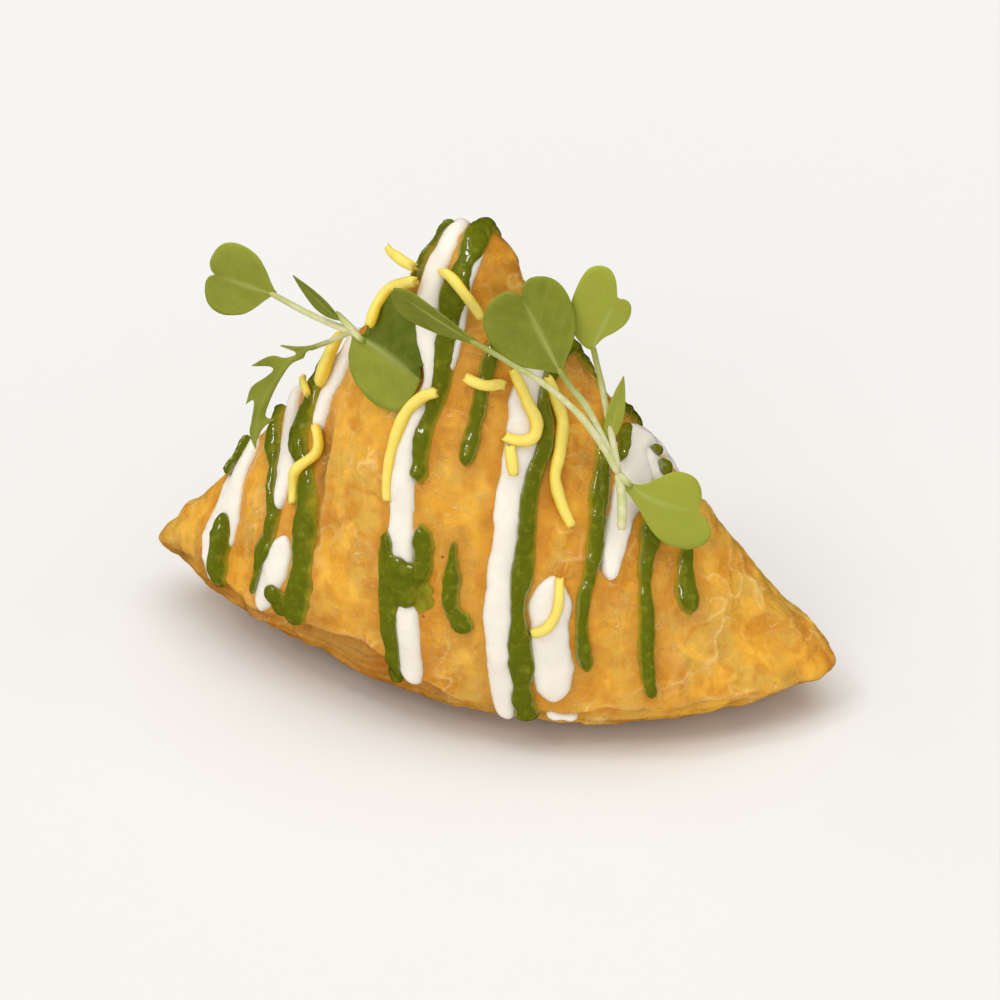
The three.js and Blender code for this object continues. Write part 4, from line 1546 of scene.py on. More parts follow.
CHUTNEY_LINES = (
    (
        (-36.8, 0.735, 1.2), (-36.9, 0.69, 2.6), (-37, 0.65, 3.4), (-36.9, 0.58, 3), (-36.7, 0.52, 2.5),
        (-36.4, 0.44, 1.8), (-35.8, 0.385, 1.3),
    ),
    (
        (-31, 1.5, 1.8), (-31.4, 1.25, 1.6), (-31, 1, 2), (-30.9, 0.92, 3), (-30.4, 0.86, 2.8),
        (-29.7, 0.8, 2), (-29, 0.71, 1.6), (-28, 0.64, 2.2), (-27.8, 0.59, 2.5), (-28.9, 0.54, 3.3),
        (-29.5, 0.47, 2.5), (-29.6, 0.41, 1.8), (-29.4, 0.36, 1.3),
    ),
    (
        (-22.6, 1.7, 2.4), (-23, 1.35, 2.2), (-23.8, 1, 2.6), (-24.9, 0.96, 3.4), (-25, 0.91, 4),
        (-25.8, 0.86, 3.8), (-25.6, 0.8, 3.2), (-24.2, 0.74, 3.4), (-23.2, 0.66, 3.8), (-22.7, 0.57, 3.9),
        (-22.4, 0.49, 4), (-22.1, 0.42, 3.5), (-22.3, 0.36, 4.2), (-22.8, 0.29, 4.2), (-23.1, 0.25, 2.6),
    ),
    (
        (-0.6, 1.75, 2.8), (-1.4, 1.4, 2.4), (-1.8, 1.12, 3), (-1.7, 0.99, 3.6), (-2.2, 0.96, 3.2),
        (-2.5, 0.94, 3.7), (-3.1, 0.91, 4), (-3.3, 0.87, 3.4), (-3.3, 0.81, 3), (-3.3, 0.74, 2.6),
        (-4, 0.69, 2.2), (-5, 0.64, 2.2), (-5, 0.6, 2.4), (-4.8, 0.55, 2.3),
    ),
    (
        (-4.8, 1, 0.6), (-6, 0.995, 0.7), (-7.4, 0.985, 0.7), (-8.4, 0.972, 1), (-8.6, 0.955, 1),
        (-9, 0.935, 0.8),
    ),
    (
        (2.6, 0.86, 2), (2.2, 0.79, 2.6), (1.9, 0.75, 2.4), (1.9, 0.71, 2.4), (1.5, 0.66, 2.3),
        (1.3, 0.61, 1.9),
    ),
    (
        (13.8, 1.55, 2.6), (12, 1.25, 2.4), (9.8, 1, 2.2), (9.2, 0.91, 2.2), (9.6, 0.89, 2.4),
        (10.3, 0.86, 2.4), (10.5, 0.82, 2.8), (10.1, 0.78, 2.6), (9.8, 0.74, 2.7), (10, 0.66, 2.6),
        (10.3, 0.58, 2.9), (10.3, 0.5, 2.9), (10.2, 0.45, 2.6), (10.8, 0.38, 2.7), (11.3, 0.29, 3.2),
        (11.5, 0.2, 3.4), (12.2, 0.11, 3.8),
    ),
    (
        (18.4, 1.7, 2.4), (18, 1.3, 2.2), (17.2, 1, 2), (17.1, 0.92, 1.9), (17.7, 0.88, 2.5),
        (18, 0.83, 3.1), (18.5, 0.77, 2.7), (18.7, 0.7, 2.3), (18.5, 0.63, 2.2), (18.2, 0.56, 2),
        (18.5, 0.48, 2), (19.1, 0.4, 2), (19.9, 0.34, 1.8),
    ),
    (
        (24, 0.92, 2), (24.6, 0.87, 2.8), (24.9, 0.82, 3), (24.9, 0.77, 2.6), (25.3, 0.7, 2.3),
        (25.8, 0.63, 2.3), (26.3, 0.55, 2.6), (26.7, 0.47, 2.3), (27.3, 0.38, 2.1), (28.2, 0.31, 2.1),
    ),
    (
        (29.4, 0.9, 2), (29.5, 0.85, 2.5), (29.8, 0.81, 3), (30.2, 0.76, 3.2), (30.7, 0.71, 3.2),
        (30.9, 0.67, 2.4),
    ),
    (
        (-8.8, 0.465, 1.4), (-8.7, 0.43, 2.8), (-8.4, 0.39, 3.1), (-8, 0.32, 3.1), (-7.6, 0.27, 3),
        (-7, 0.21, 3.2), (-6.7, 0.15, 3), (-6.6, 0.11, 1.8),
    ),
    ((-3.9, 0.47, 1.8), (-3.6, 0.44, 3.2), (-3.3, 0.41, 3.2), (-3.2, 0.38, 2.6), (-3.6, 0.35, 1.8)),
    (
        (0.9, 0.46, 0.9), (0.9, 0.42, 1.6), (1.1, 0.39, 2.4), (1.2, 0.35, 2.8), (1.3, 0.325, 2.9),
        (2.4, 0.31, 3.4), (3.6, 0.31, 3.8), (4.6, 0.325, 2.6),
    ),
    ((18.7, 0.997, 1.2), (18.8, 0.965, 1.5), (19.1, 0.925, 1.2)),
    ((21.9, 0.998, 1), (22.5, 0.995, 1.5), (23.2, 0.992, 1.2)),
    ((23.2, 0.987, 1.6), (24.1, 0.984, 2.8), (24.9, 0.98, 2.4)),
    ((-35.2, 1, 1.1), (-36.3, 0.975, 1.5), (-37.2, 0.95, 1.7), (-37.6, 0.905, 1.2)),
)
CHUTNEY_DROPS = {
    2: ((-26.2, 0.36, 1.5, 0.9), (-25.6, 0.31, 1.8, 1.0), (-24.4, 0.33, 1.5, 0.8)),
    10: (
        (-6.6, 0.385, 1.7, 0.7), (-4.9, 0.375, 1.5, 0.6), (-3.8, 0.36, 1.4, 0.6), (-2.6, 0.34, 1.3, 0.6),
        (-2.0, 0.32, 1, 0.5), (-3.3, 0.31, 1.3, 0.55), (-5.0, 0.32, 1.4, 0.55), (-6.2, 0.345, 1.4, 0.5),
        (-4.3, 0.34, 1.3, 0.55), (-6.6, 0.30, 1.2, 0.5),
    ),
}


# ---------------------------------------------------------------- noodles


@dataclass
class Noodles:
    """Strands of fried gram noodle that lie over the sauces.

    Attributes:
        ground: what they lie on.
        strands: each as [x, climb, gap under it, half of its breadth].
        flatness: how its thickness compares with its breadth.
        step: distance between a strand's rings.
        sides: points in a ring.

    SLOPE is how steeply a strand bends down to what is under it, and END_WIDTH how wide its ends are broken.
    """

    SLOPE = 0.45
    END_WIDTH = 0.86

    ground: Ground
    strands: Sequence[Rows]
    flatness: float = 0.85
    step: float = 0.35
    sides: int = 16

    def _strand(self, number: int, points: Rows) -> Shape:
        """One strand, resting on what is under it.

        Args:
            number: its number.
            points: its [x, climb, gap, half breadth] points.

        Returns:
            The strand with its edges marked.
        """
        places, outward, ahead, rest = self.ground.track(points, self.step)
        gaps, breadth = rest.T
        under = self.ground.heights(self.ground.laid, places, outward)
        order = np.arange(len(under))
        stiff = np.array([(under - self.SLOPE * self.step * np.abs(order - i)).max() for i in order])
        lift = blurred(stiff, 3.0) + gaps + breadth * self.flatness * 0.8
        middle = places + outward * lift[:, None]
        noise = Noise(70 + number)
        radii = breadth * (1.0 + 0.10 * noise.at(middle, 2.4) + 0.05 * noise.at(middle, 0.9))
        radii[[0, -1]] *= self.END_WIDTH
        sides = unit(np.cross(ahead, outward))
        around = circle(self.sides)
        wide, tall = np.cos(around), np.sin(around)
        rings = (
            middle[:, None]
            + sides[:, None] * (radii[:, None] * wide)[:, :, None]
            + outward[:, None] * (radii[:, None] * self.flatness * tall)[:, :, None]
        )
        for end, inner in ((0, 1), (-1, -2)):
            ragged = 0.35 * noise.at(rings[end] * 3.0, 1.0)
            rings[end] += (middle[end] - middle[inner]) / self.step * ragged[:, None]
        count = len(middle)
        faces = belt(count, self.sides) + fans(count, self.sides)
        edge = np.tile(smooth_step(1.1 - tall * 1.3), count)
        ends = [middle[0] + (middle[1] - middle[0]) * 0.6, middle[-1] + (middle[-2] - middle[-1]) * 0.6]
        vertices = np.vstack([rings.reshape(-1, 3), *ends])
        return Shape(vertices, faces, {Mark.EDGE: np.concatenate([edge, [0.2, 0.2]])})

    def build(self, material: Material) -> list[Piece]:
        """Places every strand.

        Args:
            material: their finish.

        Returns:
            The pieces.
        """
        strands = [self._strand(i, points) for i, points in enumerate(self.strands)]
        return [
            placed(strand, f"noodle_strand_{i + 1}", material, [f"noodle_{i + 1}"])
            for i, strand in enumerate(strands)
        ]


NOODLE_STRANDS = (
    (
        (-9.3, 0.98, 4.2, 0.6), (-9.2, 0.973, 3.2, 0.7), (-8.9, 0.967, 2.2, 0.75), (-8.1, 0.953, 1.3, 0.75),
        (-7.7, 0.947, 0.8, 0.7),
    ),
    (
        (-12.7, 0.905, 3.2, 0.75), (-12.2, 0.92, 3.1, 0.85), (-12, 0.94, 2.7, 0.85),
        (-10.9, 0.95, 2.1, 0.85), (-8.9, 0.933, 1.5, 0.85), (-7, 0.918, 1, 0.8),
    ),
    (
        (-5, 0.93, 0, 0.55), (-3.6, 0.93, 0, 0.7), (-2.5, 0.92, 0, 0.75), (-1.3, 0.9, 0.2, 0.75),
        (-0.1, 0.88, 0.6, 0.7), (0.3, 0.87, 0.8, 0.65),
    ),
    (
        (-20.8, 1, 0.9, 0.75), (-20.6, 0.98, 0.7, 0.9), (-20.8, 0.955, 0.5, 1.05),
        (-21.5, 0.935, 0.2, 1.15), (-22.5, 0.925, 0, 1.1),
    ),
    ((-27, 1, 1.0, 0.3), (-26.5, 0.99, 0.6, 0.5), (-24.9, 0.95, 0.2, 0.65), (-24.2, 0.92, 0, 0.6)),
    (
        (-21.6, 0.81, 0, 0.75), (-21.3, 0.78, 0, 0.85), (-21.7, 0.75, 0, 0.85), (-22.8, 0.73, 0, 0.8),
        (-24.4, 0.71, 0, 0.9), (-24.8, 0.67, 0, 0.8), (-24.7, 0.63, 0, 0.7),
    ),
    (
        (-9.1, 0.53, 0, 0.75), (-9.3, 0.58, 0, 0.8), (-9, 0.63, 0, 0.85), (-7.8, 0.68, 0, 0.85),
        (-6.4, 0.7, 0, 0.8), (-4.7, 0.71, 0, 0.8), (-3.2, 0.72, 0.1, 0.75),
    ),
    ((-0.3, 0.76, 0, 0.75), (1.3, 0.76, 0, 0.8), (2.9, 0.775, 0, 0.75), (4.5, 0.82, 0, 0.65)),
    (
        (5, 0.87, 0, 0.75), (6.1, 0.87, 0, 0.8), (7.5, 0.86, 0, 0.85), (8.7, 0.85, 0, 0.85),
        (8.8, 0.82, 0, 0.85), (7.4, 0.79, 0, 0.8), (5.5, 0.76, 0, 0.75),
    ),
    (
        (8.6, 0.93, 0, 0.7), (10, 0.92, 0, 0.8), (11.3, 0.91, 0, 0.85), (11.9, 0.89, 0, 0.85),
        (12.2, 0.84, 0, 0.85), (12.3, 0.79, 0, 0.8), (13.7, 0.75, 0, 0.8), (15.3, 0.72, 0, 0.7),
    ),
    (
        (14.8, 0.58, 0, 0.65), (15.1, 0.52, 0, 0.7), (14.9, 0.48, 0, 0.7), (13.9, 0.43, 0, 0.7),
        (12.2, 0.4, 0, 0.65),
    ),
    ((6.3, 0.76, 0, 0.75), (6.8, 0.74, 0, 0.8), (7.4, 0.72, 0, 0.75)),
)


# ---------------------------------------------------------------- sprigs


class Outline(Enum):
    """How a blade's half is drawn, as [along, out] points from its foot round its margin to its far end."""

    HEART = (
        (0, 0), (0.07, 0.14), (0.15, 0.3), (0.26, 0.56), (0.4, 0.8), (0.56, 0.93), (0.74, 1), (0.9, 0.97),
        (1.03, 0.84), (1.12, 0.6), (1.15, 0.32), (1.1, 0.1), (1, 0),
    )
    ROUND = (
        (0, 0), (0.055, 0.16), (0.1, 0.38), (0.15, 0.55), (0.24, 0.73), (0.36, 0.86), (0.5, 0.95),
        (0.64, 1), (0.76, 0.99), (0.88, 0.93), (0.975, 0.84), (1.01, 0.72), (1.025, 0.52), (1.02, 0.29),
        (1.007, 0.1), (1, 0),
    )
    BROAD = (
        (0, 0), (0.2, 0.06), (0.18, 0.22), (0.11, 0.38), (0.07, 0.54), (0.05, 0.68), (0.07, 0.8),
        (0.14, 0.92), (0.24, 1), (0.4, 1.04), (0.6, 1.03), (0.82, 0.96), (0.98, 0.85), (1.06, 0.7),
        (1.065, 0.58), (1.03, 0.45), (0.98, 0.33), (0.91, 0.24), (0.95, 0.12), (1, 0),
    )
    TALL = (
        (0, 0), (-0.01, 0.2), (0.09, 0.52), (0.32, 0.86), (0.63, 0.97), (0.91, 1), (1.12, 0.97),
        (1.25, 0.88), (1.34, 0.69), (1.36, 0.48), (1.3, 0.29), (1.18, 0.14), (1, 0),
    )
    SMALL = (
        (0, 0), (0.15, 0.12), (0.3, 0.3), (0.45, 0.63), (0.64, 0.93), (0.78, 1), (0.9, 0.92), (1, 0.7),
        (1.03, 0.4), (1, 0.15), (1, 0),
    )
    WEDGE_ABOVE = (
        (0, 0), (0.1, 0.03), (0.2, 0.07), (0.3, 0.2), (0.44, 0.6), (0.57, 0.93), (0.69, 1), (0.8, 0.94),
        (0.89, 0.76), (0.96, 0.5), (1, 0.2), (1, 0),
    )
    WEDGE_BELOW = (
        (0, 0), (0.14, 0.16), (0.27, 0.25), (0.39, 0.37), (0.6, 0.67), (0.74, 0.84), (0.9, 0.97), (1.05, 1),
        (1.19, 0.82), (1.26, 0.6), (1.26, 0.38), (1.19, 0.2), (1.09, 0.08), (1, 0),
    )
    SLIP = (
        (0, 0), (0.05, 0.18), (0.25, 0.5), (0.5, 0.86), (0.72, 1), (0.88, 0.86), (0.97, 0.5), (1.02, 0.15),
        (1, 0),
    )
    POINTED = ((0, 0), (0.1, 0.42), (0.25, 0.82), (0.42, 1), (0.6, 0.88), (0.78, 0.56), (0.9, 0.28), (1, 0))


@dataclass
class Blade:
    """A leaf blade.

    Attributes:
        foot: where its midrib starts.
        tip: where its midrib ends.
        left: from the midrib to its left margin at its widest.
        right: from the midrib to its right margin at its widest.
        outline: how it is drawn.
        tone: from 0, deep green, to 1, bright green; a deep tone also paints shade on a blade in shadow.
        droop: how far its far end bends towards its underside.
        right_outline: how its right half is drawn, if that differs.
        bend: how far its middle lies from the straight line between its ends.
        right_tone: the tone of its right half, if that differs, which lets one half of a folded blade be
            painted in shade.
        rows: steps along it.
        columns: steps from its midrib to a margin.
        thickness: how thick it is.

    FACING is the side of the samosa that the upper sides of the blades turn to.
    """

    FACING = (0.25, -0.82, 0.51)

    foot: Point
    tip: Point
    left: Point
    right: Point
    outline: Outline
    tone: float
    droop: float = 0.6
    right_outline: Outline | None = None
    bend: Point = (0.0, 0.0, 0.0)
    right_tone: float | None = None
    rows: int = 40
    columns: int = 9
    thickness: float = 0.34

    def shape(self, seed: int) -> Shape:
        """The blade as a thin closed solid.

        Args:
            seed: which random unevenness it has.

        Returns:
            The blade with its ribs and tone marked.
        """
        along = np.linspace(0.0, 1.0, self.rows + 1)
        share = np.linspace(-1.0, 1.0, 2 * self.columns + 1)
        spread = np.abs(share)
        forward, sideways = self._drawn(along, share)
        places, up = self._opened(forward, sideways, share)
        wave = 0.35 * Noise(seed).at(places.reshape(-1, 3), 4.5).reshape(forward.shape) * spread
        rib = hump(spread, 0.07) * (1.0 - 0.7 * along[:, None])
        veins = self._veins(forward, sideways)
        lift = wave - self.droop * forward**2 - 0.16 * rib + 0.05 * veins
        places = places + up * lift[:, :, None]
        taper = 0.5 * self.thickness * np.sqrt(np.clip(1.0 - spread**6, 0.02, 1.0))[None, :, None]
        keel = hump(spread, 0.09) * np.clip(1.0 - 1.3 * along[:, None], 0.0, 1.0)
        top = places + up * (taper + 0.22 * keel[:, :, None])
        bottom = places - up * (taper + 0.3 * keel[:, :, None])
        tone = np.full(forward.shape, self.tone)
        # A right-half tone that differs lets one half be painted in shade.
        if self.right_tone is not None:
            tone = np.where(share[None] > 0, self.right_tone, tone)
        tone = tone + 0.10 * smooth_step((spread[None] - 0.75) / 0.25) + 0.10 * (1 - along[:, None])
        marks = {Mark.RIB: np.clip(0.85 * rib + 0.09 * veins, 0, 1), Mark.TONE: np.clip(tone, 0, 1)}
        return self._sheet(top, bottom, marks)

    def _drawn(self, along: Array, share: Array) -> tuple[Array, Array]:
        """Where the outlines put the blade's points.

        Args:
            along: steps along the midrib, from 0 to 1.
            share: steps across, from -1 at the left margin to 1 at the right.

        Returns:
            How far along the blade each point is and how far out, as two grids.
        """
        outlines = (self.outline, self.right_outline or self.outline)
        margins = np.stack([self._margin(outline, along) for outline in outlines])
        out, spread = margins[(share > 0).astype(int)], np.abs(share)
        forward = along[:, None] + (out[:, :, 0].T - along[:, None]) * spread
        return forward, out[:, :, 1].T * spread

    def _opened(self, forward: Array, sideways: Array, share: Array) -> tuple[Array, ...]:
        """The blade's points before it is waved and given its ribs.

        Args:
            forward: how far along the blade each point is.
            sideways: how far out each point is.
            share: steps across, from -1 at the left margin to 1 at the right.

        Returns:
            A grid of points, and the direction that the upper side faces.
        """
        foot, midrib = np.array(self.foot), np.array(self.tip) - np.array(self.foot)
        halves = np.where(share[:, None] < 0, np.array(self.left), np.array(self.right))
        places = foot + forward[:, :, None] * midrib + sideways[:, :, None] * halves[None]
        bow = np.clip(4.0 * forward * (1.0 - forward), 0.0, 1.0)
        places = places + bow[:, :, None] * np.array(self.bend)
        up = unit(np.cross(midrib, np.array(self.right) - np.array(self.left)))
        return places, up if up @ np.array(self.FACING) >= 0 else -up

    @staticmethod
    def _margin(outline: Outline, along: Array) -> Array:
        """Points of an outline.

        Args:
            outline: the outline.
            along: steps along the midrib, from 0 to 1.

        Returns:
            An [along, out] point for each step.
        """
        margin = evenly(np.pad(spline(outline.value, 12), ((0, 0), (0, 1))), 0.02)
        stations = np.linspace(0.0, 1.0, len(margin))
        return np.stack([np.interp(along, stations, column) for column in margin.T[:2]], axis=1)

    @staticmethod
    def _veins(forward: Array, sideways: Array) -> Array:
        """Side veins that leave the midrib and lean towards the tip.

        Args:
            forward: how far along the blade each point is.
            sideways: how far out each point is.

        Returns:
            1 on a vein and 0 between veins.
        """
        phase = (forward - 0.55 * sideways) * 5.0
        inside = smooth_step((0.95 - sideways) * 4.0)
        return hump(phase - np.round(phase), 0.07) * smooth_step(sideways * 6.0) * inside

    @staticmethod
    def _sheet(top: Array, bottom: Array, marks: dict[Mark, Array]) -> Shape:
        """A closed solid between two grids of points.

        Args:
            top: the upper grid.
            bottom: the lower grid.
            marks: values on a grid.

        Returns:
            The solid.
        """
        rows, columns = top.shape[:2]
        count = rows * columns
        number = np.arange(count).reshape(rows, columns)
        corners = (number[:-1, :-1], number[:-1, 1:], number[1:, 1:], number[1:, :-1])
        a, b, c, d = (corner.ravel() for corner in corners)
        faces = np.stack([a, b, c, d], 1).tolist() + (np.stack([d, c, b, a], 1) + count).tolist()
        rim = [*number[0], *number[1:, -1], *number[-1, -2::-1], *number[-2:0:-1, 0]]
        for here, after in zip(rim, rim[1:] + rim[:1]):
            faces.append([int(after), int(here), int(here) + count, int(after) + count])
        doubled = {name: np.tile(values.ravel(), 2) for name, values in marks.items()}
        return Shape(np.vstack([top.reshape(-1, 3), bottom.reshape(-1, 3)]), faces, doubled)


@dataclass
class Stalk:
    """A leaf's stalk or a sprig's stem.

    Attributes:
        route: the points that it passes.
        start_radius: its radius at the first point.
        end_radius: its radius at the last.
        green: how green its last part is, from 0 to 1.
        tone: the tone of its green.
        sides: points round it.
        flatness: how its thickness compares with its breadth.
        step: distance between its rings.
    """

    route: Sequence[Point]
    start_radius: float
    end_radius: float
    green: float
    tone: float = 0.7
    sides: int = 12
    flatness: float = 0.85
    step: float = 0.5

    def shape(self, seed: int) -> Shape:
        """The stalk as a closed rod.

        Args:
            seed: which random unevenness it has.

        Returns:
            The rod with its colour marked.
        """
        path = evenly(spline(self.route, 16), self.step)
        share = np.linspace(0.0, 1.0, len(path))
        noise = Noise(seed)
        radii = self.start_radius + (self.end_radius - self.start_radius) * share
        radii = radii * (1.0 + 0.08 * noise.at(path, 3.0))
        radii[[0, -1]] *= 0.7
        rod = tube(path, radii, self.sides, self.flatness)
        pale = np.repeat(1.0 - self.green * smooth_step((share - 0.45) / 0.55), self.sides)
        count = len(rod.vertices)
        rod.marks = {
            Mark.STALK: np.concatenate([pale, [pale[0], pale[-1]]]),
            Mark.TONE: np.full(count, self.tone),
            Mark.RIB: np.zeros(count),
        }
        return rod


@dataclass
class Frond:
    """A leaf with pointed lobes, cut from one gently waved sheet.

    Attributes:
        runs: its margin as smooth runs from point to point, each as [x, z].
        rib: its midrib as [x, z].
        tone: from 0, deep green, to 1, bright green.
        level: where its sheet lies, as [y at the origin, slope along x, slope along z].
        thickness: how thick it is.
        grain: side of a face.
    """

    runs: Sequence[Rows]
    rib: Rows
    tone: float = 0.5
    level: Point = (-14.4, 0.0225, 0.205)
    thickness: float = 0.55
    grain: float = 0.16

    def _raised(self, points: Rows) -> Array:
        """Raises points to the leaf's sheet.

        Args:
            points: [x, z] points.

        Returns:
            Rows of three coordinates.
        """
        start, along_x, along_z = self.level
        x, z = np.array(points, dtype=float).T
        return np.stack([x, start + along_x * x + along_z * z, z], axis=1)

    def shape(self, seed: int) -> Shape:
        """The leaf as a thin closed solid.

        Args:
            seed: which random unevenness it has.

        Returns:
            The leaf with its rib and tone marked.
        """
        margin = np.vstack([evenly(spline(self._raised(run), 10), 0.3)[:-1] for run in self.runs])
        _, along_x, along_z = self.level
        facing = unit(np.array((along_x, -1.0, along_z)))
        count = len(margin)
        front, back = margin + 0.5 * self.thickness * facing, margin - 0.5 * self.thickness * facing
        faces = [list(range(count)), list(range(2 * count - 1, count - 1, -1))]
        faces += [[i, i + count, (i + 1) % count + count, (i + 1) % count] for i in range(count)]
        leaf = Shape(np.vstack([front, back]), faces).remeshed(self.grain).smoothed(3)
        rib = evenly(spline(self._raised(self.rib), 12), 0.3)
        away = np.linalg.norm(leaf.vertices[:, None] - rib[None], axis=2).min(axis=1)
        noise = Noise(seed)
        wave = 0.45 * noise.at(leaf.vertices, 5.0) - 0.10 * hump(away, 0.35)
        leaf.marks = {
            Mark.STALK: np.zeros(len(away)),
            Mark.RIB: 0.45 * hump(away, 0.3),
            Mark.TONE: np.clip(self.tone + 0.15 * noise.at(leaf.vertices, 2.5), 0, 1),
        }
        leaf.vertices = leaf.vertices + wave[:, None] * facing
        return leaf


@dataclass
class Sprig:
    """A sprig of cress: stalks that meet at a joint, and a blade at the end of most.

    Attributes:
        node: the frame's node that it stands for.
        stalks: its stalks.
        blades: its blades.
        seed: which random unevenness it has.
    """

    node: str
    stalks: Sequence[Stalk]
    blades: Sequence[Blade | Frond]
    seed: int

    def build(self, material: Material) -> Piece:
        """Places the sprig.

        Args:
            material: its finish.

        Returns:
            The piece.
        """
        parts = [stalk.shape(self.seed + i) for i, stalk in enumerate(self.stalks)]
        parts += [blade.shape(self.seed + 20 + i) for i, blade in enumerate(self.blades)]
        return placed(Shape.joined(parts), f"{self.node}_cress", material, [self.node])


LEFT_JOINT = (-17.8, -6, 51.3)
RIGHT_JOINT = (20.7, -10.8, 38.4)
LEFT_SPRIG = Sprig(
    node="sprig_left",
    stalks=(
        Stalk((LEFT_JOINT, (-20.4, -5.2, 51.2), (-25.4, -3.4, 51.6), (-31.2, -2, 53.1)), 0.6, 0.42, 0.5),
        Stalk((LEFT_JOINT, (-16.8, -6.8, 51.0), (-15.6, -7.6, 50.7)), 0.6, 0.45, 1.0),
        Stalk(
            (
                (-17.8, -5.4, 51), (-19.6, -4.2, 49.5), (-21, -4.2, 48.6), (-22.4, -4.9, 48.1),
                (-24.6, -5.1, 47),
            ),
            0.42, 0.4, 1.0,
        ),
        Stalk(((-17.3, -6.2, 50.3), LEFT_JOINT, (-18.8, -5.8, 52.2), (-20.4, -5.4, 53.4)), 0.7, 0.45, 0.8),
    ),
    blades=(
        Blade(
            (-30.4, -2, 53), (-39.6, -1, 53.9), (2.2, -1.2, 6.3), (-2.1, 1.2, -6.1), Outline.HEART, 0.62, 0.4
        ),
        # Its upper half is painted in shade with the deepest tone, its lower half lit with a middle tone.
        Blade(
            LEFT_JOINT, (-6.5, -12.0, 48.8), (3.5, 2.3, 6.5), (-2.9, -2.3, -5.3), Outline.BROAD, 0.0, 0.5,
            right_outline=Outline.ROUND, right_tone=0.5,
        ),
        Blade(
            (-19.5, -6, 52.5), (-27, -4, 57.2), (0.7, -0.5, 0.9), (-0.6, -0.6, -0.9), Outline.POINTED,
            0.2, 0.2,
        ),
        Frond(
            runs=(
                ((-21.8, 48.7), (-24.1, 47.7), (-26.2, 47.3), (-28.8, 47.2)),
                (
                    (-28.8, 47.1), (-27.5, 46.8), (-26.3, 46.5), (-26.5, 46), (-28, 45.4), (-30.1, 45.4),
                    (-32.9, 43.6),
                ),
                (
                    (-32.9, 43.6), (-31.5, 43.8), (-29.9, 43.9), (-29.6, 43.4), (-30.7, 42.3),
                    (-32.7, 40.6), (-33.5, 37.9),
                ),
                ((-33.5, 37.9), (-32.9, 38.5), (-32.2, 38.8), (-32.4, 36), (-32.6, 34.2), (-31.7, 31.8)),
                ((-31.7, 31.8), (-31.5, 33.3), (-30.6, 35.2), (-29, 36.7)),
                (
                    (-29, 36.7), (-30.2, 36.6), (-30.4, 37.4), (-29.5, 40.1), (-28.3, 42.6), (-26.9, 44.7),
                    (-25.1, 45.8),
                ),
                ((-25.1, 45.8), (-24.9, 46.5), (-24.1, 47.1), (-21.8, 48)),
            ),
            rib=((-21.8, 48.3), (-26.3, 46.2), (-29.2, 42.2), (-31.4, 37.4), (-31.7, 31.8)),
        ),
    ),
    seed=300,
)
RIGHT_SPRIG = Sprig(
    node="sprig_right",
    stalks=(
        Stalk((RIGHT_JOINT, (21.3, -11.4, 36.2), (21.7, -12.2, 33.7), (22, -13.4, 31.3)), 0.7, 0.75, 0.0),
        Stalk(
            (
                RIGHT_JOINT, (19.7, -10.6, 40.4), (18, -10.4, 43.9), (16, -10.8, 47.9), (14.2, -11, 50.2),
                (12.4, -11.2, 53),
            ),
            0.62, 0.5, 0.9,
        ),
        Stalk(
            (
                RIGHT_JOINT, (18.2, -11.2, 42.9), (15.5, -11.6, 46.7), (12.2, -12, 49.8), (8.9, -12.4, 52.1),
                (5, -12.8, 54.3), (1, -13, 56.2),
            ),
            0.62, 0.42, 0.8,
        ),
        Stalk(
            (
                RIGHT_JOINT, (19.5, -9.8, 42.7), (18.4, -9, 46.6), (17.5, -8.2, 49.8), (16.7, -7.8, 52.4),
                (16, -7.5, 54.9),
            ),
            0.6, 0.42, 0.9,
        ),
        Stalk((RIGHT_JOINT, (21.4, -11, 37.8), (22.6, -10.9, 36.6)), 0.6, 0.42, 1.0),
    ),
    blades=(
        Blade(
            (12.9, -11.3, 52.1), (7.4, -11, 62.3), (-5.3, -2, -3.1), (4.4, 2, 2.5), Outline.HEART, 0.36, 0.4
        ),
        Blade(
            (15.9, -7.6, 54.4), (19, -7, 62.1), (-4.7, -1, 2.4), (2.2, 1, -1.4), Outline.TALL, 0.92, 0.3,
            right_outline=Outline.SMALL,
        ),
        Blade(
            (20.8, -11, 38.5), (31, -7.4, 32.5), (1.3, 2.6, 3.9), (-1.7, -2.5, -4.8), Outline.WEDGE_ABOVE,
            0.96, 0.4, right_outline=Outline.WEDGE_BELOW, bend=(-0.4, -0.6, -1.1),
        ),
        Blade(
            (1.8, -13, 55.9), (-9.6, -12.4, 61.5), (0.8, -0.45, 1.5), (-1.6, 0.75, -2.9), Outline.SLIP,
            0.28, 0.2,
        ),
        Blade(
            (18.8, -9.8, 41.2), (20.7, -9, 52), (-1.1, -0.4, 0.3), (1.1, 0.4, -0.3), Outline.POINTED, 0.8, 0.2
        ),
    ),
    seed=340,
)


# ---------------------------------------------------------------- the studio


@dataclass(frozen=True)
class Lamp:
    """A distant light.

    Attributes:
        name: its name.
        azimuth: where it stands round the object, in degrees from the front.
        elevation: how high it stands, in degrees.
        strength: how bright it is.
        softness: how wide it looks, in degrees.
        gleams: whether wet surfaces mirror it.
    """

    name: str
    azimuth: float
    elevation: float
    strength: float
    softness: float
    gleams: bool = False


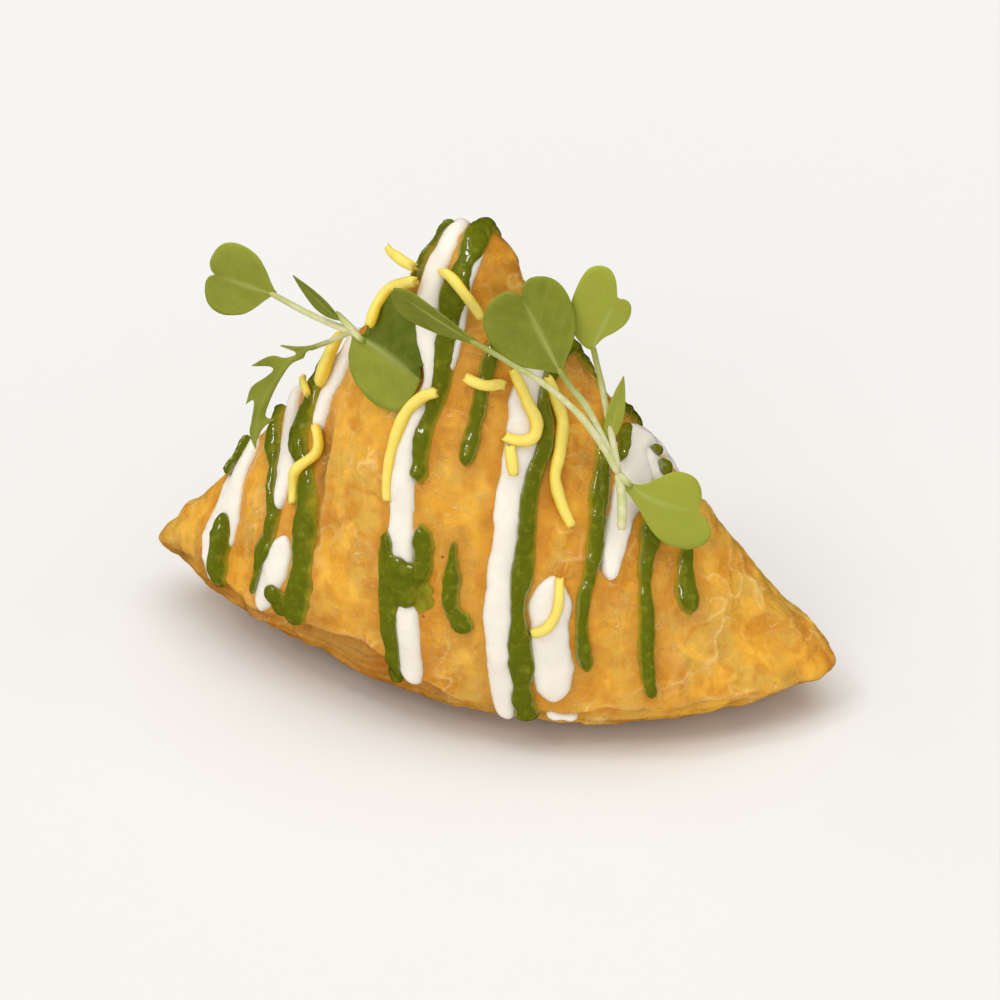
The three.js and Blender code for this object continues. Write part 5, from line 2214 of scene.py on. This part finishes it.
@dataclass
class Studio:
    """A plain pale floor under soft light, and the camera.

    Attributes:
        target: what the camera looks at, in metres.
        distance: how far away it is, in metres.
        azimuth: how far round from the front it stands, in degrees.
        elevation: how high over the horizon it stands, in degrees.
        lens: focal length in millimetres.
        floor_reach: half the floor's side in metres.
        sky: colour of the light from all round.
        sky_strength: how strong that light is.
        lamps: the distant lights.
    """

    target: Point = (0.00106, 0.0, 0.02458)
    distance: float = 0.38747
    azimuth: float = 17.0
    elevation: float = 31.0
    lens: float = 100.0
    floor_reach: float = 4.0
    sky: Colour = (0.93, 0.97, 1.0)
    sky_strength: float = 0.20
    lamps: Sequence[Lamp] = (
        Lamp("overhead", 180.0, 84.0, 1.60, 66.0),
        Lamp("front", 0.0, 14.0, 1.02, 50.0),
        Lamp("left", -72.0, 30.0, 0.82, 80.0),
        Lamp("right", 68.0, 34.0, 0.84, 80.0),
        Lamp("softbox", -40.0, 50.0, 0.30, 14.0, True),
        Lamp("sparkle", -75.0, 55.0, 0.18, 4.0, True),
    )

    def floor(self, material: Material) -> Piece:
        """Lays the floor.

        Args:
            material: its finish.

        Returns:
            The floor.
        """
        reach = self.floor_reach
        mesh = bpy.data.meshes.new("floor")
        corners = [(-reach, -reach, 0), (reach, -reach, 0), (reach, reach, 0), (-reach, reach, 0)]
        mesh.from_pydata(corners, [], [(0, 1, 2, 3)])
        mesh.materials.append(material)
        floor = bpy.data.objects.new("floor", mesh)
        bpy.context.scene.collection.objects.link(floor)
        floor.visible_glossy = False
        return floor

    def _hang(self, lamp: Lamp) -> None:
        """Adds a distant light.

        Args:
            lamp: the light.
        """
        light = bpy.data.lights.new(lamp.name, "SUN")
        light.energy = lamp.strength
        light.angle = math.radians(lamp.softness)
        piece = bpy.data.objects.new(lamp.name, light)
        piece.rotation_euler = self._back(lamp.azimuth, lamp.elevation).to_track_quat("Z", "Y").to_euler()
        piece.visible_glossy = lamp.gleams
        bpy.context.scene.collection.objects.link(piece)

    @staticmethod
    def _back(azimuth: float, elevation: float) -> Vector:
        """The direction from the object to something that stands round it."""
        a, e = math.radians(azimuth), math.radians(elevation)
        return Vector((math.sin(a) * math.cos(e), -math.cos(a) * math.cos(e), math.sin(e)))

    def light(self) -> None:
        """Lights the studio."""
        world = bpy.data.worlds.new("studio")
        world.use_nodes = True
        background = world.node_tree.nodes["Background"]
        background.inputs["Color"].default_value = (*self.sky, 1.0)
        background.inputs["Strength"].default_value = self.sky_strength
        world.cycles_visibility.glossy = False
        bpy.context.scene.world = world
        for lamp in self.lamps:
            self._hang(lamp)

    def camera(self) -> Piece:
        """Sets up the camera.

        Returns:
            The camera.
        """
        data = bpy.data.cameras.new("camera")
        data.lens = self.lens
        data.clip_start = 0.01
        data.clip_end = 50.0
        camera = bpy.data.objects.new("camera", data)
        back = self._back(self.azimuth, self.elevation)
        camera.location = Vector(self.target) + back * self.distance
        camera.rotation_euler = back.to_track_quat("Z", "Y").to_euler()
        bpy.context.scene.collection.objects.link(camera)
        bpy.context.scene.camera = camera
        bpy.context.scene.view_settings.view_transform = "Standard"
        return camera


# ---------------------------------------------------------------- the whole

YOGURT_FINISH = SauceFinish(
    name="Yogurt",
    thick=(0.880, 0.800, 0.690),
    thin=(0.870, 0.720, 0.470),
    cloud=(0.910, 0.865, 0.800),
    clouds=0.3,
    reach=0.45,
    roughness=0.26,
    lump=0.05,
    coat=0.2,
    body=Body(0.5, (1.0, 0.85, 0.65), 1.6, 0.15, 1.36),
)
CHUTNEY_FINISH = SauceFinish(
    name="Green_chutney",
    thick=(0.135, 0.153, 0.005),
    thin=(0.380, 0.300, 0.018),
    cloud=(0.320, 0.300, 0.026),
    clouds=0.60,
    reach=1.0,
    roughness=0.13,
    lump=0.24,
    coat=1.0,
    body=Body(0.3, (0.35, 1.0, 0.10), 0.8, 0.05, 1.40, 1.9),
)


def main() -> None:
    """Builds the samosa in its studio and reports each piece."""
    logging.basicConfig(level=logging.INFO, format="%(message)s")
    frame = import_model()
    effects = Effects()
    pastry = Pastry(frame["nodes"]["crust"], spots=CRUST_SPOTS)
    ground = Ground(pastry)
    yogurt = Sauce(
        ground, "yogurt", Slot.YOGURT, YOGURT_LINES,
        depth=0.95, seed=41, solids=8, lumps=0.06, uneven=0.12, grain=0.3,
    )
    yogurt.build(YOGURT_FINISH.material(effects))
    chutney = Sauce(
        ground, "chutney", Slot.CHUTNEY, CHUTNEY_LINES,
        depth=1.15, seed=51, solids=13, drops=CHUTNEY_DROPS, lumps=0.13, uneven=0.2,
    )
    chutney.build(CHUTNEY_FINISH.material(effects))
    pastry.stain(ground.sauces())
    pastry.build(CrustFinish().material(effects))
    Noodles(ground, NOODLE_STRANDS).build(NoodleFinish().material(effects))
    cress = SprigFinish().material(effects)
    for sprig in (LEFT_SPRIG, RIGHT_SPRIG):
        sprig.build(cress)
    studio = Studio()
    studio.floor(FloorFinish().material(effects))
    studio.light()
    studio.camera()


if __name__ == "__main__":
    main()
